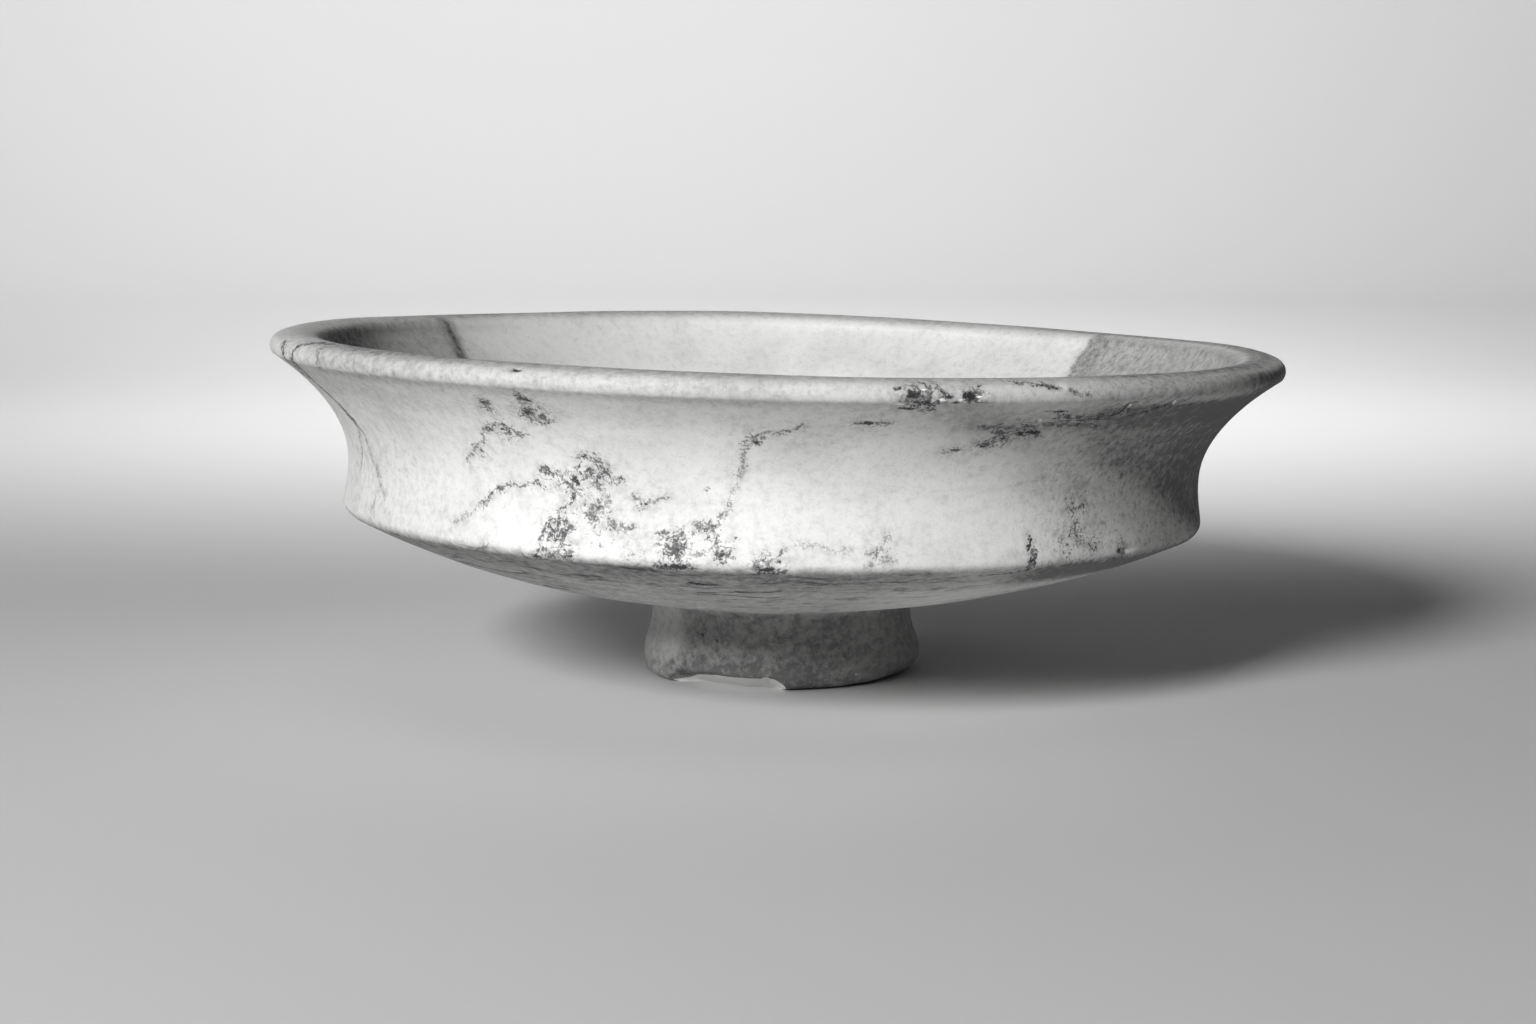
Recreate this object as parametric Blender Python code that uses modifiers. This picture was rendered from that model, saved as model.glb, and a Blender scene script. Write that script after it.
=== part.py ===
"""Footed shallow dish, carved from one block of white veined stone.

The dish is turned about the vertical axis of its foot: a low round foot, a
shallow underside that rises to a sharp shoulder, an almost upright wall with a
slight waist, and a broad rounded lip that flares out over it. The hollow keeps
the wall's thickness. The carver's irregularities follow: the bowl leans to +X
and sits a little off the foot's axis, the foot's lower edge is worn round at
the front and on the +X side, and a long spall is broken off it at the front.

Metres, +Z up, -Y is the front. The origin is the centre of the foot's flat
underside, on which the dish stands.
"""

import math

import bpy

# Foot
FOOT_RADIUS = 0.02515
FOOT_WIDEST_HEIGHT = 0.0035
FOOT_EDGE_ROUND = 0.0018
NECK_RADIUS = 0.0234
NECK_HEIGHT = 0.0138
NECK_FILLET = 0.0020
FOOT_SIDE_PULL = 0.0045

# Underside and shoulder
UNDERSIDE_SLOPE = 0.145
UNDERSIDE_CURVE = 2.5
SHOULDER_RADIUS = 0.0766
SHOULDER_HEIGHT = 0.0290
SHOULDER_ROUND = 0.0010

# Wall
WAIST_RADIUS = 0.0758
WAIST_HEIGHT = 0.0373
FLARE_ANGLE = math.radians(35.0)
FLARE_START_PULL = 0.0085
FLARE_END_PULL = 0.0075

# Lip
RIM_RADIUS = 0.0897
RIM_HEIGHT = 0.0600
LIP_WIDTH = 0.0095
LIP_OUTER_ROUND = 0.0020
LIP_INNER_ROUND = 0.0026
LIP_CROWN = 0.0005

# Hollow
WALL_THICKNESS = 0.0075
FLOOR_THICKNESS = 0.0070
INNER_CORNER = 0.0080
INNER_WALL_PULL = 0.0070
INNER_LIP_ANGLE = math.radians(58.0)

# The carver's irregularities: the bowl's lean and its moves along +X
BOWL_LEAN = math.radians(1.6)
SHOULDER_OFFSET = -0.00175
RIM_OFFSET = -0.0006

# Wear and damage on the foot's lower edge, with directions seen from above
WORN_EDGE_ROUND = 0.0045
WORN_DIRECTION = math.radians(-35.0)
WORN_SPREAD = math.radians(140.0)
SPALL_DIRECTION = math.radians(-116.0)
SPALL_HALF_SPREAD = math.radians(27.0)
SPALL_FADE = math.radians(5.0)
SPALL_DEPTH = 0.0058
SPALL_SLOPE = math.radians(27.0)

# Fineness of the mesh
TURN_STEPS = 80
MERGE_DISTANCE = 0.00002
SHARP_ANGLE = math.radians(38.0)

STONE_COLOUR = (0.80, 0.79, 0.76, 1.0)
STONE_ROUGHNESS = 0.42


def clear_scene():
    """Remove every object that is in the scene."""
    for item in list(bpy.data.objects):
        bpy.data.objects.remove(item, do_unlink=True)


def stone_material():
    """White stone with a soft polish."""
    material = bpy.data.materials.new("white_stone")
    material.use_nodes = True
    shader = material.node_tree.nodes["Principled BSDF"]
    shader.inputs["Base Color"].default_value = STONE_COLOUR
    shader.inputs["Roughness"].default_value = STONE_ROUGHNESS
    shader.inputs["Metallic"].default_value = 0.0
    material.diffuse_color = STONE_COLOUR
    return material


def arc(centre, radius, start, end, count):
    """Points on a circle in the section's plane, from start to end in degrees."""
    points = []
    for step in range(count + 1):
        angle = math.radians(start + (end - start) * step / count)
        points.append((centre[0] + radius * math.cos(angle), centre[1] + radius * math.sin(angle)))
    return points


def bezier(first, first_handle, second_handle, second, count):
    """Points on a cubic curve, both ends included."""
    ends = (first, first_handle, second_handle, second)
    points = []
    for step in range(count + 1):
        t = step / count
        weights = ((1 - t) ** 3, 3 * t * (1 - t) ** 2, 3 * t * t * (1 - t), t ** 3)
        radius = sum(weight * point[0] for weight, point in zip(weights, ends))
        height = sum(weight * point[1] for weight, point in zip(weights, ends))
        points.append((radius, height))
    return points


def underside_height(radius):
    """Height of the underside: a straight slope, steeper by a power of the run towards the shoulder."""
    run = max(radius - NECK_RADIUS, 0.0)
    whole_run = SHOULDER_RADIUS - NECK_RADIUS
    extra_rise = SHOULDER_HEIGHT - NECK_HEIGHT - UNDERSIDE_SLOPE * whole_run
    return NECK_HEIGHT + UNDERSIDE_SLOPE * run + extra_rise * (run / whole_run) ** UNDERSIDE_CURVE


def floor_height(radius):
    """Height of the hollow's floor: a parabola with the floor's thickness under its middle and edge."""
    inner_radius = WAIST_RADIUS - WALL_THICKNESS
    middle = NECK_HEIGHT + FLOOR_THICKNESS
    edge = underside_height(inner_radius) + FLOOR_THICKNESS
    return middle + (edge - middle) * (radius / inner_radius) ** 2


def lip():
    """The lip from its inner edge over the crest to its outer edge: two rounds with a crown between."""
    shelf = RIM_HEIGHT - LIP_CROWN
    inner_centre = (RIM_RADIUS - LIP_WIDTH + LIP_INNER_ROUND, shelf - LIP_INNER_ROUND)
    outer_centre = (RIM_RADIUS - LIP_OUTER_ROUND, shelf - LIP_OUTER_ROUND)
    crown = ((inner_centre[0] + outer_centre[0]) / 2, RIM_HEIGHT)
    inner_edge = arc(inner_centre, LIP_INNER_ROUND, 170, 100, 4)
    outer_edge = arc(outer_centre, LIP_OUTER_ROUND, 80, -35, 6)
    return inner_edge + [crown] + outer_edge


def flared_wall(lip_end):
    """The wall's outside from the lip's outer edge down to the waist, a concave flare."""
    end_handle = (
        lip_end[0] - FLARE_END_PULL * math.cos(FLARE_ANGLE),
        lip_end[1] - FLARE_END_PULL * math.sin(FLARE_ANGLE),
    )
    waist = (WAIST_RADIUS, WAIST_HEIGHT)
    start_handle = (WAIST_RADIUS, WAIST_HEIGHT + FLARE_START_PULL)
    return bezier(lip_end, end_handle, start_handle, waist, 9)[1:]


def shoulder():
    """The shoulder's edge, a small round between the wall and the underside."""
    centre = (SHOULDER_RADIUS - SHOULDER_ROUND, SHOULDER_HEIGHT + SHOULDER_ROUND)
    return arc(centre, SHOULDER_ROUND, 8, -62, 3)


def underside():
    """The underside from the shoulder in to the neck's fillet, with closer points where it is steeper."""
    outer = SHOULDER_RADIUS - 1.5 * SHOULDER_ROUND
    inner = NECK_RADIUS + NECK_FILLET
    count = 8
    points = []
    for step in range(1, count + 1):
        share = (step / count) ** 1.2
        radius = outer + (inner - outer) * share
        points.append((radius, underside_height(radius)))
    return points


def foot():
    """The foot from the neck's fillet down its flaring side, round its lower edge and in to the axis."""
    fillet_centre = (NECK_RADIUS + NECK_FILLET, underside_height(NECK_RADIUS + NECK_FILLET) - NECK_FILLET)
    fillet = arc(fillet_centre, NECK_FILLET, 90, 180, 4)[1:]
    neck_foot = fillet[-1]
    side = bezier(
        neck_foot,
        (NECK_RADIUS, neck_foot[1] - FOOT_SIDE_PULL),
        (FOOT_RADIUS, FOOT_WIDEST_HEIGHT + FOOT_SIDE_PULL / 2),
        (FOOT_RADIUS, FOOT_WIDEST_HEIGHT),
        3,
    )[1:]
    edge = arc((FOOT_RADIUS - FOOT_EDGE_ROUND, FOOT_EDGE_ROUND), FOOT_EDGE_ROUND, 0, -90, 5)
    return fillet + side + edge + [(0.0, 0.0)]


def hollow(lip_start):
    """The hollow from its floor's middle out, up round the corner and to the lip's inner edge."""
    inner_radius = WAIST_RADIUS - WALL_THICKNESS
    corner_radius = inner_radius - INNER_CORNER
    floor = []
    for step in range(5):
        radius = corner_radius * step / 4
        floor.append((radius, floor_height(radius)))
    corner_start = floor[-1]
    corner_end = (inner_radius, floor_height(inner_radius) + INNER_CORNER)
    slope = (floor_height(inner_radius) - corner_start[1]) / INNER_CORNER
    pull = 0.6 * INNER_CORNER
    corner = bezier(
        corner_start,
        (corner_radius + pull, corner_start[1] + pull * slope),
        (inner_radius, corner_end[1] - pull),
        corner_end,
        4,
    )[1:]
    lip_handle = (
        lip_start[0] - INNER_WALL_PULL * math.cos(INNER_LIP_ANGLE),
        lip_start[1] - INNER_WALL_PULL * math.sin(INNER_LIP_ANGLE),
    )
    wall = bezier(corner_end, (inner_radius, corner_end[1] + INNER_WALL_PULL), lip_handle, lip_start, 6)[1:-1]
    return floor + corner + wall


def section():
    """The section from the hollow's middle, over the lip and down the outside to the foot's middle."""
    rim = lip()
    return hollow(rim[0]) + rim + flared_wall(rim[-1]) + shoulder() + underside() + foot()


def turned(name, profile):
    """A closed solid: the profile turned about the vertical axis by a Screw modifier, then made a mesh."""
    mesh = bpy.data.meshes.new(name + "_profile")
    edges = [(index, index + 1) for index in range(len(profile) - 1)]
    mesh.from_pydata([(radius, 0.0, height) for radius, height in profile], edges, [])
    item = bpy.data.objects.new(name + "_profile", mesh)
    bpy.context.scene.collection.objects.link(item)
    screw = item.modifiers.new("turn", "SCREW")
    screw.axis = "Z"
    screw.steps = TURN_STEPS
    screw.render_steps = TURN_STEPS
    screw.use_merge_vertices = True
    screw.merge_threshold = MERGE_DISTANCE
    evaluated = item.evaluated_get(bpy.context.evaluated_depsgraph_get())
    solid = bpy.data.meshes.new_from_object(evaluated)
    solid.name = name
    bpy.data.objects.remove(item, do_unlink=True)
    bpy.data.meshes.remove(mesh)
    return solid


def held(value):
    """A number kept between 0 and 1."""
    return min(max(value, 0.0), 1.0)


def smooth(value):
    """A rise from 0 to 1 with level ends."""
    part = held(value)
    return part * part * (3 - 2 * part)


def apart(direction, other):
    """The angle between two directions seen from above."""
    return abs(math.remainder(direction - other, 2 * math.pi))


def bowl_share(height):
    """How far a height belongs to the leaning bowl: 0 on the foot, 1 from the shoulder up."""
    foot_top = NECK_HEIGHT - NECK_FILLET
    return held((height - foot_top) / (SHOULDER_HEIGHT - foot_top))


def sideways(height):
    """How far the rings are off the foot's axis at a height."""
    rise = held((height - SHOULDER_HEIGHT) / (RIM_HEIGHT - SHOULDER_HEIGHT))
    return bowl_share(height) * SHOULDER_OFFSET + rise * (RIM_OFFSET - SHOULDER_OFFSET)


def worn_reach(height, direction):
    """The most that the foot reaches at a height where its lower edge is worn to a larger round."""
    worn = smooth(1 - apart(direction, WORN_DIRECTION) / WORN_SPREAD)
    edge = FOOT_EDGE_ROUND + (WORN_EDGE_ROUND - FOOT_EDGE_ROUND) * worn
    drop = max(edge - height, 0.0)
    return FOOT_RADIUS - edge + math.sqrt(max(edge * edge - drop * drop, 0.0))


def spall_reach(height, direction):
    """The most that the foot reaches at a height on the flat slope of the spall, which fades at its ends."""
    share = smooth((SPALL_HALF_SPREAD + SPALL_FADE - apart(direction, SPALL_DIRECTION)) / (2 * SPALL_FADE))
    return FOOT_RADIUS - SPALL_DEPTH * share + height / math.tan(SPALL_SLOPE)


def carve(mesh):
    """Give the turned solid its worn and broken foot edge, its lean and its offset."""
    broken_height = max(WORN_EDGE_ROUND, SPALL_DEPTH * math.tan(SPALL_SLOPE))
    for vertex in mesh.vertices:
        x, y, z = vertex.co
        radius = math.hypot(x, y)
        if radius > FOOT_RADIUS / 2 and z < broken_height:
            direction = math.atan2(y, x)
            share = min(1.0, worn_reach(z, direction) / radius, spall_reach(z, direction) / radius)
            x *= share
            y *= share
        vertex.co = (x + sideways(z), y, z - x * math.tan(BOWL_LEAN) * bowl_share(z))


def make_dish(group):
    """The dish: foot and bowl are one stone."""
    mesh = turned("dish", section())
    carve(mesh)
    mesh.shade_smooth()
    mesh.set_sharp_from_angle(angle=SHARP_ANGLE)
    mesh.materials.clear()
    mesh.materials.append(stone_material())
    dish = bpy.data.objects.new("dish", mesh)
    group.objects.link(dish)
    return dish


def main():
    """Build the dish in a collection of its own."""
    clear_scene()
    group = bpy.data.collections.new("footed_shallow_dish")
    bpy.context.scene.collection.children.link(group)
    make_dish(group)


main()
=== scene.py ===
"""Footed shallow dish of white veined stone: its worked surface, its stone, the light and the camera.

The dish is worked out in millimetres, and its mesh gets metres at the end. The floor,
the backdrop and the lights are in metres from the start. The axes are the frame's:
+Z up, -Y the front, the origin in the middle of the foot's flat underside. The turn
is a direction round the dish in degrees, 0 at the front and growing towards +X. A
place on the outside is (turn, height), and the height is that on the level bowl,
before the bowl's lean.
"""

import math

import bpy
import numpy as np
from mathutils import Matrix, Vector


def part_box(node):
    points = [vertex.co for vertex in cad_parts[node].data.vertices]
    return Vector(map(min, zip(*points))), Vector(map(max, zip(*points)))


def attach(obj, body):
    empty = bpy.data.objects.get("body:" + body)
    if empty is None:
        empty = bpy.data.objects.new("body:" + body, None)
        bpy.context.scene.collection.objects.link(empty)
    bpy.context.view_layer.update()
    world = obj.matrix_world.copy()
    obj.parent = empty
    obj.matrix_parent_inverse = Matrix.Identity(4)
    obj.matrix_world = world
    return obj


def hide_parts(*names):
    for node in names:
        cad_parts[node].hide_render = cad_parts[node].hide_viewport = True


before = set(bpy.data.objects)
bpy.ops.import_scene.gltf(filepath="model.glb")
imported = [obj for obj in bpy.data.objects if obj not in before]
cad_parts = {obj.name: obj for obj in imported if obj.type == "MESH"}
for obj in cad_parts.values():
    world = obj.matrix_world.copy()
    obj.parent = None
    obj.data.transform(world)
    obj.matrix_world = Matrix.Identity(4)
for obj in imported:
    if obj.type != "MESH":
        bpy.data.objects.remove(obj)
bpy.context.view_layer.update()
METRE = 1000.0

# The solid's own dimensions, with its reach from the frame's box. Only the shoulder's round, which ends
# at an angle in degrees, and the spall's ends are a little softer here
DISH_LOW, DISH_HIGH = (np.array(corner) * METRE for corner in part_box("dish"))
RIM_RADIUS = (DISH_HIGH[1] - DISH_LOW[1]) / 2
RIM_HEIGHT = 60.0
LIP_WIDTH = 9.5
LIP_OUTER_ROUND = 2.0
LIP_INNER_ROUND = 2.6
LIP_CROWN = 0.5
CROWN_SLOPE = math.radians(20.0)
SHOULDER_RADIUS = 76.6
SHOULDER_HEIGHT = 29.0
SHOULDER_ROUND = 2.0
SHOULDER_ROUND_RISE = 0.62
SHOULDER_TOP = SHOULDER_HEIGHT + SHOULDER_ROUND_RISE * SHOULDER_ROUND
SHOULDER_END = -63.6
SHOULDER_LEAN = 0.2
SHOULDER_PULL = 2.0
WAIST_RADIUS = 75.8
WAIST_HEIGHT = 37.3
WAIST_PULL = 3.0
FLARE_ANGLE = math.radians(35.0)
FLARE_START_PULL = 8.5
FLARE_END_PULL = 7.5
FOOT_RADIUS = 25.15
FOOT_WIDEST_HEIGHT = 3.5
FOOT_EDGE_ROUND = 1.8
FOOT_SIDE_PULL = 4.5
NECK_RADIUS = 23.4
NECK_HEIGHT = 13.8
NECK_FILLET = 2.0
UNDERSIDE_SLOPE = 0.145
UNDERSIDE_CURVE = 2.5
WALL_THICKNESS = 7.5
FLOOR_THICKNESS = 7.0
INNER_CORNER = 8.0
INNER_CORNER_PULL = 0.6 * INNER_CORNER
INNER_WALL_PULL = 7.0
INNER_LIP_ANGLE = math.radians(58.0)
INNER_RADIUS = WAIST_RADIUS - WALL_THICKNESS
FLAT_RADIUS = FOOT_RADIUS - FOOT_EDGE_ROUND

# The bowl's lean and its moves off the foot's axis
BOWL_LEAN = math.radians(1.6)
SHOULDER_OFFSET = -1.75
RIM_OFFSET = -0.6

# Wear and damage on the foot's lower edge, by turn
WORN_EDGE_ROUND = 4.5
WORN_TURN = 55.0
WORN_SPREAD = 140.0
SPALL_TURN = -26.0
SPALL_HALF_SPREAD = 27.0
SPALL_FADE = 7.0
SPALL_DEPTH = 5.8
SPALL_SLOPE = math.radians(27.0)

# The spall's ripples: half depth, waves to a whole turn, start in degrees
SPALL_RIPPLES = (
    (0.30, 9.0, 0.0),
    (0.15, 23.0, 40.0),
)

# Hand-made waves: half depth, waves to a turn, millimetres to a radian down the section, start in radians,
# and the radius of the floor's middle, which has none
HAND_WAVES = (
    (0.05, 3.0, 9.0, 0.4),
    (0.04, 7.0, -6.0, 0.0),
    (0.02, 17.0, 2.6, 0.0),
)
FLOOR_MIDDLE = 4.0

# How far the back of the rim sags, and the turns and heights where the sag begins and is full
RIM_SAG = 0.3
SAGGING_TURNS = (90.0, 120.0)
SAGGING_HEIGHTS = (40.0, 55.0)

# How fine the surface is: places round the dish, and rows along each part of the section
TURN_COUNT = 480
FRONT_CLOSER = 0.42
FLOOR_ROWS = 18
CORNER_ROWS = 9
INNER_WALL_ROWS = 14
INNER_LIP_ROWS = 8
CROWN_ROWS = 13
OUTER_LIP_ROWS = 13
FLARE_ROWS = 54
SHOULDER_ROWS = 8
UNDERSIDE_ROWS = 28
UNDERSIDE_CROWDING = 1.1
FILLET_ROWS = 6
FOOT_SIDE_ROWS = 14
FOOT_UPRIGHT_ROWS = 5
FOOT_EDGE_ROWS = 9
BASE_ROWS = 6

# Veins: breadth and darkness, then their places on the outside as (turn, height)
VEINS = (
    (0.95, 1.00, ((-57.0, 59.9), (-60.4, 59.8), (-62.6, 59.4), (-63.2, 58.2), (-63.4, 56.9), (-64.6, 55.7),
                  (-65.6, 54.2), (-67.0, 52.7), (-66.1, 49.7), (-64.4, 46.4), (-63.7, 45.5))),
    (0.26, 0.60, ((-63.7, 45.5), (-65.8, 42.6), (-67.0, 39.6), (-68.3, 37.3))),
    (0.22, 0.50, ((-63.7, 45.5), (-62.7, 44.3), (-62.9, 41.2), (-61.0, 38.1), (-59.8, 35.9), (-58.3, 34.2))),
    (0.22, 0.45, ((-61.1, 34.6), (-61.6, 32.5), (-61.8, 30.4), (-61.2, 29.2))),
    (0.45, 0.70, ((-32.6, 54.4), (-32.2, 53.1), (-31.9, 51.6))),
    (0.50, 0.60, ((-26.8, 55.4), (-27.5, 53.4), (-27.1, 52.0), (-26.0, 50.6))),
    (0.40, 0.75, ((-33.6, 49.8), (-32.3, 49.7), (-31.4, 49.2), (-30.3, 48.5), (-28.9, 48.5))),
    (0.36, 0.70, ((-33.4, 49.7), (-34.9, 48.1), (-35.6, 46.9), (-37.3, 45.6), (-39.8, 42.4))),
    (0.42, 0.90, ((-23.4, 45.2), (-22.5, 45.1), (-21.3, 45.7), (-20.9, 44.5), (-20.2, 43.1), (-19.4, 41.7),
                  (-17.9, 42.4))),
    (0.42, 0.85, ((-29.0, 43.0), (-27.4, 42.4), (-25.8, 42.4), (-25.3, 41.3), (-24.4, 40.7), (-24.3, 39.4),
                  (-24.1, 38.1))),
    (0.36, 0.80, ((-23.5, 41.2), (-22.6, 42.3), (-21.5, 43.4), (-20.6, 42.6))),
    (0.30, 0.70, ((-22.4, 42.2), (-21.6, 41.1), (-20.3, 41.0))),
    (0.30, 0.85, ((-38.4, 35.9), (-37.2, 37.0), (-35.9, 38.6), (-34.7, 39.1), (-32.9, 39.7), (-31.5, 40.0),
                  (-29.7, 40.5), (-28.0, 39.8))),
    (0.20, 0.40, ((-42.6, 32.2), (-40.4, 34.2), (-38.4, 35.9))),
    (0.30, 0.85, ((-24.1, 38.1), (-25.6, 37.3), (-26.4, 36.3), (-27.3, 34.8), (-28.3, 33.2), (-28.8, 32.0),
                  (-28.3, 30.6), (-30.3, 28.6))),
    (0.36, 0.80, ((-28.2, 33.2), (-26.6, 33.0), (-25.6, 33.8), (-24.2, 34.3))),
    (0.34, 0.75, ((-20.2, 39.6), (-20.4, 37.9), (-21.6, 37.4), (-23.4, 36.5), (-22.0, 35.4), (-21.4, 36.4))),
    (0.36, 0.75, ((-20.0, 35.6), (-19.4, 35.3), (-18.3, 34.5), (-16.8, 34.6))),
    (0.26, 0.60, ((-17.1, 40.0), (-15.7, 38.6), (-14.8, 39.0), (-12.9, 40.0))),
    (0.28, 0.65, ((-15.7, 38.6), (-16.6, 38.0))),
    (0.40, 0.80, ((-13.9, 34.2), (-13.0, 33.6), (-11.7, 33.7), (-10.5, 33.9))),
    (0.50, 0.85, ((-11.2, 33.5), (-11.5, 32.5), (-11.6, 31.3), (-12.0, 30.0))),
    (0.34, 0.70, ((-9.9, 36.1), (-8.8, 35.2), (-8.1, 35.9), (-7.0, 35.0), (-7.2, 33.1), (-6.2, 31.6),
                  (-4.7, 30.6))),
    (0.30, 0.60, ((-7.4, 32.4), (-8.6, 31.8), (-10.2, 31.4))),
    (0.30, 0.70, ((-7.0, 35.0), (-6.8, 36.9), (-5.8, 38.1), (-5.5, 39.6))),
    (0.26, 0.38, ((-5.5, 39.6), (-5.2, 41.4), (-4.5, 43.3), (-4.2, 44.6))),
    (0.32, 0.55, ((-4.2, 44.6), (-3.9, 46.4), (-4.1, 48.6))),
    (0.34, 0.75, ((-4.4, 48.6), (-3.2, 49.6), (-2.4, 50.5), (-1.4, 51.0))),
    (0.32, 0.70, ((-3.9, 48.5), (-2.3, 49.3), (-1.8, 50.4), (-0.2, 51.0), (1.4, 51.6), (2.4, 52.4))),
    (0.55, 0.90, ((-14.3, 29.3), (-12.6, 29.2), (-11.2, 29.4), (-9.7, 29.7))),
    (0.40, 0.75, ((-31.4, 29.4), (-30.6, 28.3), (-28.2, 29.0), (-26.2, 29.6), (-23.8, 30.1))),
    (0.26, 0.60, ((-37.6, 28.6), (-37.0, 29.8), (-36.4, 30.6))),
    (0.55, 0.80, ((7.2, 52.7), (9.2, 52.8), (11.2, 52.9))),
    (0.60, 0.70, ((20.4, 52.0), (23.2, 52.3), (26.0, 51.6), (29.4, 50.4))),
    (0.50, 0.70, ((21.6, 48.8), (22.8, 49.3), (24.6, 50.0))),
    (0.36, 0.65, ((17.8, 48.1), (18.9, 48.4), (20.0, 48.9))),
    (0.30, 0.50, ((10.2, 31.6), (11.5, 32.8), (12.4, 34.3), (13.3, 34.9))),
    (0.24, 0.45, ((10.0, 30.0), (11.6, 30.8), (13.6, 31.0))),
    (0.30, 0.75, ((-2.6, 29.4), (-1.8, 30.4), (-0.8, 30.8), (0.2, 31.6), (1.0, 32.4))),
    (0.60, 0.85, ((-2.8, 28.4), (-1.4, 28.9), (0.2, 29.0), (1.4, 29.2))),
    (0.16, 0.40, ((1.8, 33.6), (4.0, 33.4), (6.4, 32.6), (8.4, 32.4))),
    (0.50, 0.95, ((22.6, 59.7), (23.7, 59.45), (25.4, 59.35), (27.0, 59.1), (27.9, 58.3))),
    (0.40, 0.65, ((28.9, 58.1), (29.5, 57.9), (30.4, 57.8), (31.4, 57.3))),
    (0.24, 0.60, ((35.2, 54.6), (37.0, 54.8), (38.0, 55.6), (38.4, 56.6))),
    (0.24, 0.60, ((40.8, 55.2), (43.0, 55.0), (45.4, 55.6), (46.4, 56.4))),
    (0.22, 0.45, ((44.3, 55.5), (43.5, 57.2))),
    (0.62, 1.00, ((31.3, 34.2), (31.5, 33.2), (31.8, 31.6), (31.9, 30.4), (31.7, 29.4), (31.0, 28.6),
                  (29.2, 28.0), (25.4, 27.6))),
    (0.22, 0.50, ((-57.0, 24.0), (-40.0, 23.4), (-26.0, 22.6))),
    (0.30, 0.60, ((2.0, 26.2), (9.0, 26.6), (17.0, 27.0), (24.0, 27.6))),
    (1.00, 1.00, ((-69.1, 59.2), (-67.4, 58.6), (-66.8, 57.4), (-66.8, 56.3), (-68.2, 55.0), (-69.4, 53.2))),
    (0.50, 0.60, ((-57.6, 59.8), (-56.0, 58.6), (-55.6, 57.3), (-56.4, 56.2))),
    (0.60, 0.95, ((28.2, 54.5), (29.2, 54.2), (31.0, 53.6), (33.8, 53.4), (35.8, 53.7),
                  (37.3, 54.4), (37.5, 55.5))),
    (0.55, 0.80, ((22.5, 51.0), (25.3, 51.9), (28.6, 52.3), (32.6, 52.2), (36.0, 52.0))),
    (0.50, 0.80, ((38.8, 53.6), (41.0, 54.2), (42.4, 54.7), (43.7, 55.4))),
    (0.34, 0.75, ((-88.0, 52.0), (-90.0, 49.0), (-93.0, 47.5), (-94.0, 44.0), (-98.0, 42.5), (-99.0, 39.0))),
    (0.26, 0.60, ((-94.0, 44.0), (-90.5, 42.0), (-89.0, 38.5), (-86.0, 36.5))),
    (0.30, 0.70, ((-112.0, 33.0), (-108.0, 34.5), (-105.0, 37.0), (-100.5, 37.8), (-99.0, 39.0))),
    (0.45, 0.75, ((-118.0, 30.0), (-114.0, 29.4), (-110.0, 29.6))),
    (0.30, 0.65, ((-140.0, 56.5), (-142.0, 53.0), (-141.0, 50.0), (-145.0, 47.0), (-147.0, 43.0))),
    (0.40, 0.80, ((-147.0, 43.0), (-151.0, 42.0), (-153.0, 39.5), (-158.0, 39.0), (-160.0, 36.0))),
    (0.30, 0.70, ((-153.0, 39.5), (-151.0, 36.0), (-152.0, 32.0), (-150.0, 29.6))),
    (0.28, 0.60, ((172.0, 51.0), (168.0, 49.5), (166.0, 46.0), (161.0, 44.0))),
    (0.36, 0.75, ((161.0, 44.0), (158.0, 41.0), (159.0, 37.5), (155.0, 35.0), (154.0, 31.0))),
    (0.30, 0.60, ((158.0, 41.0), (152.0, 42.5), (148.0, 41.5))),
    (0.24, 0.50, ((139.0, 55.0), (137.0, 51.0), (138.0, 47.5), (134.0, 44.0))),
    (0.40, 0.70, ((112.0, 34.0), (108.0, 36.0), (104.0, 35.5), (100.0, 38.0), (97.0, 42.0))),
    (0.30, 0.60, ((104.0, 35.5), (103.0, 32.0), (105.0, 29.5))),
    (0.22, 0.50, ((84.0, 54.0), (86.0, 50.0), (83.0, 46.5), (85.0, 43.0))),
    (0.30, 0.65, ((70.0, 33.0), (74.0, 34.5), (76.0, 38.0), (80.0, 39.0))),
    (0.30, 0.60, ((-80.0, 26.0), (-76.0, 24.0), (-78.0, 21.5), (-70.0, 19.0))),
    (0.30, 0.60, ((-150.0, 27.0), (-144.0, 24.5), (-147.0, 21.0), (-140.0, 18.5))),
    (0.34, 0.65, ((120.0, 26.5), (126.0, 24.0), (123.0, 21.5), (130.0, 19.0))),
    (0.26, 0.55, ((60.0, 26.0), (66.0, 24.5), (70.0, 22.5))),
)

# The two old joints in the hollow as (turn, run), from the rim to where they meet at the back of its floor
LEFT_JOINT = ((-126.2, -1.0), (-126.4, -4.5), (-127.0, -9.0), (-126.6, -13.0), (-127.4, -22.0),
              (-126.4, -32.0), (-128.0, -42.0), (-134.0, -55.0), (-146.0, -66.0), (-162.0, -73.0),
              (-179.0, -75.0))
RIGHT_JOINT = ((128.2, -1.0), (128.6, -4.5), (129.4, -10.0), (128.7, -15.0), (129.6, -24.0), (128.8, -34.0),
               (131.0, -46.0), (138.0, -58.0), (152.0, -68.0), (168.0, -74.0), (179.0, -75.0))
JOINT_MEETING = -75.5

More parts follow.
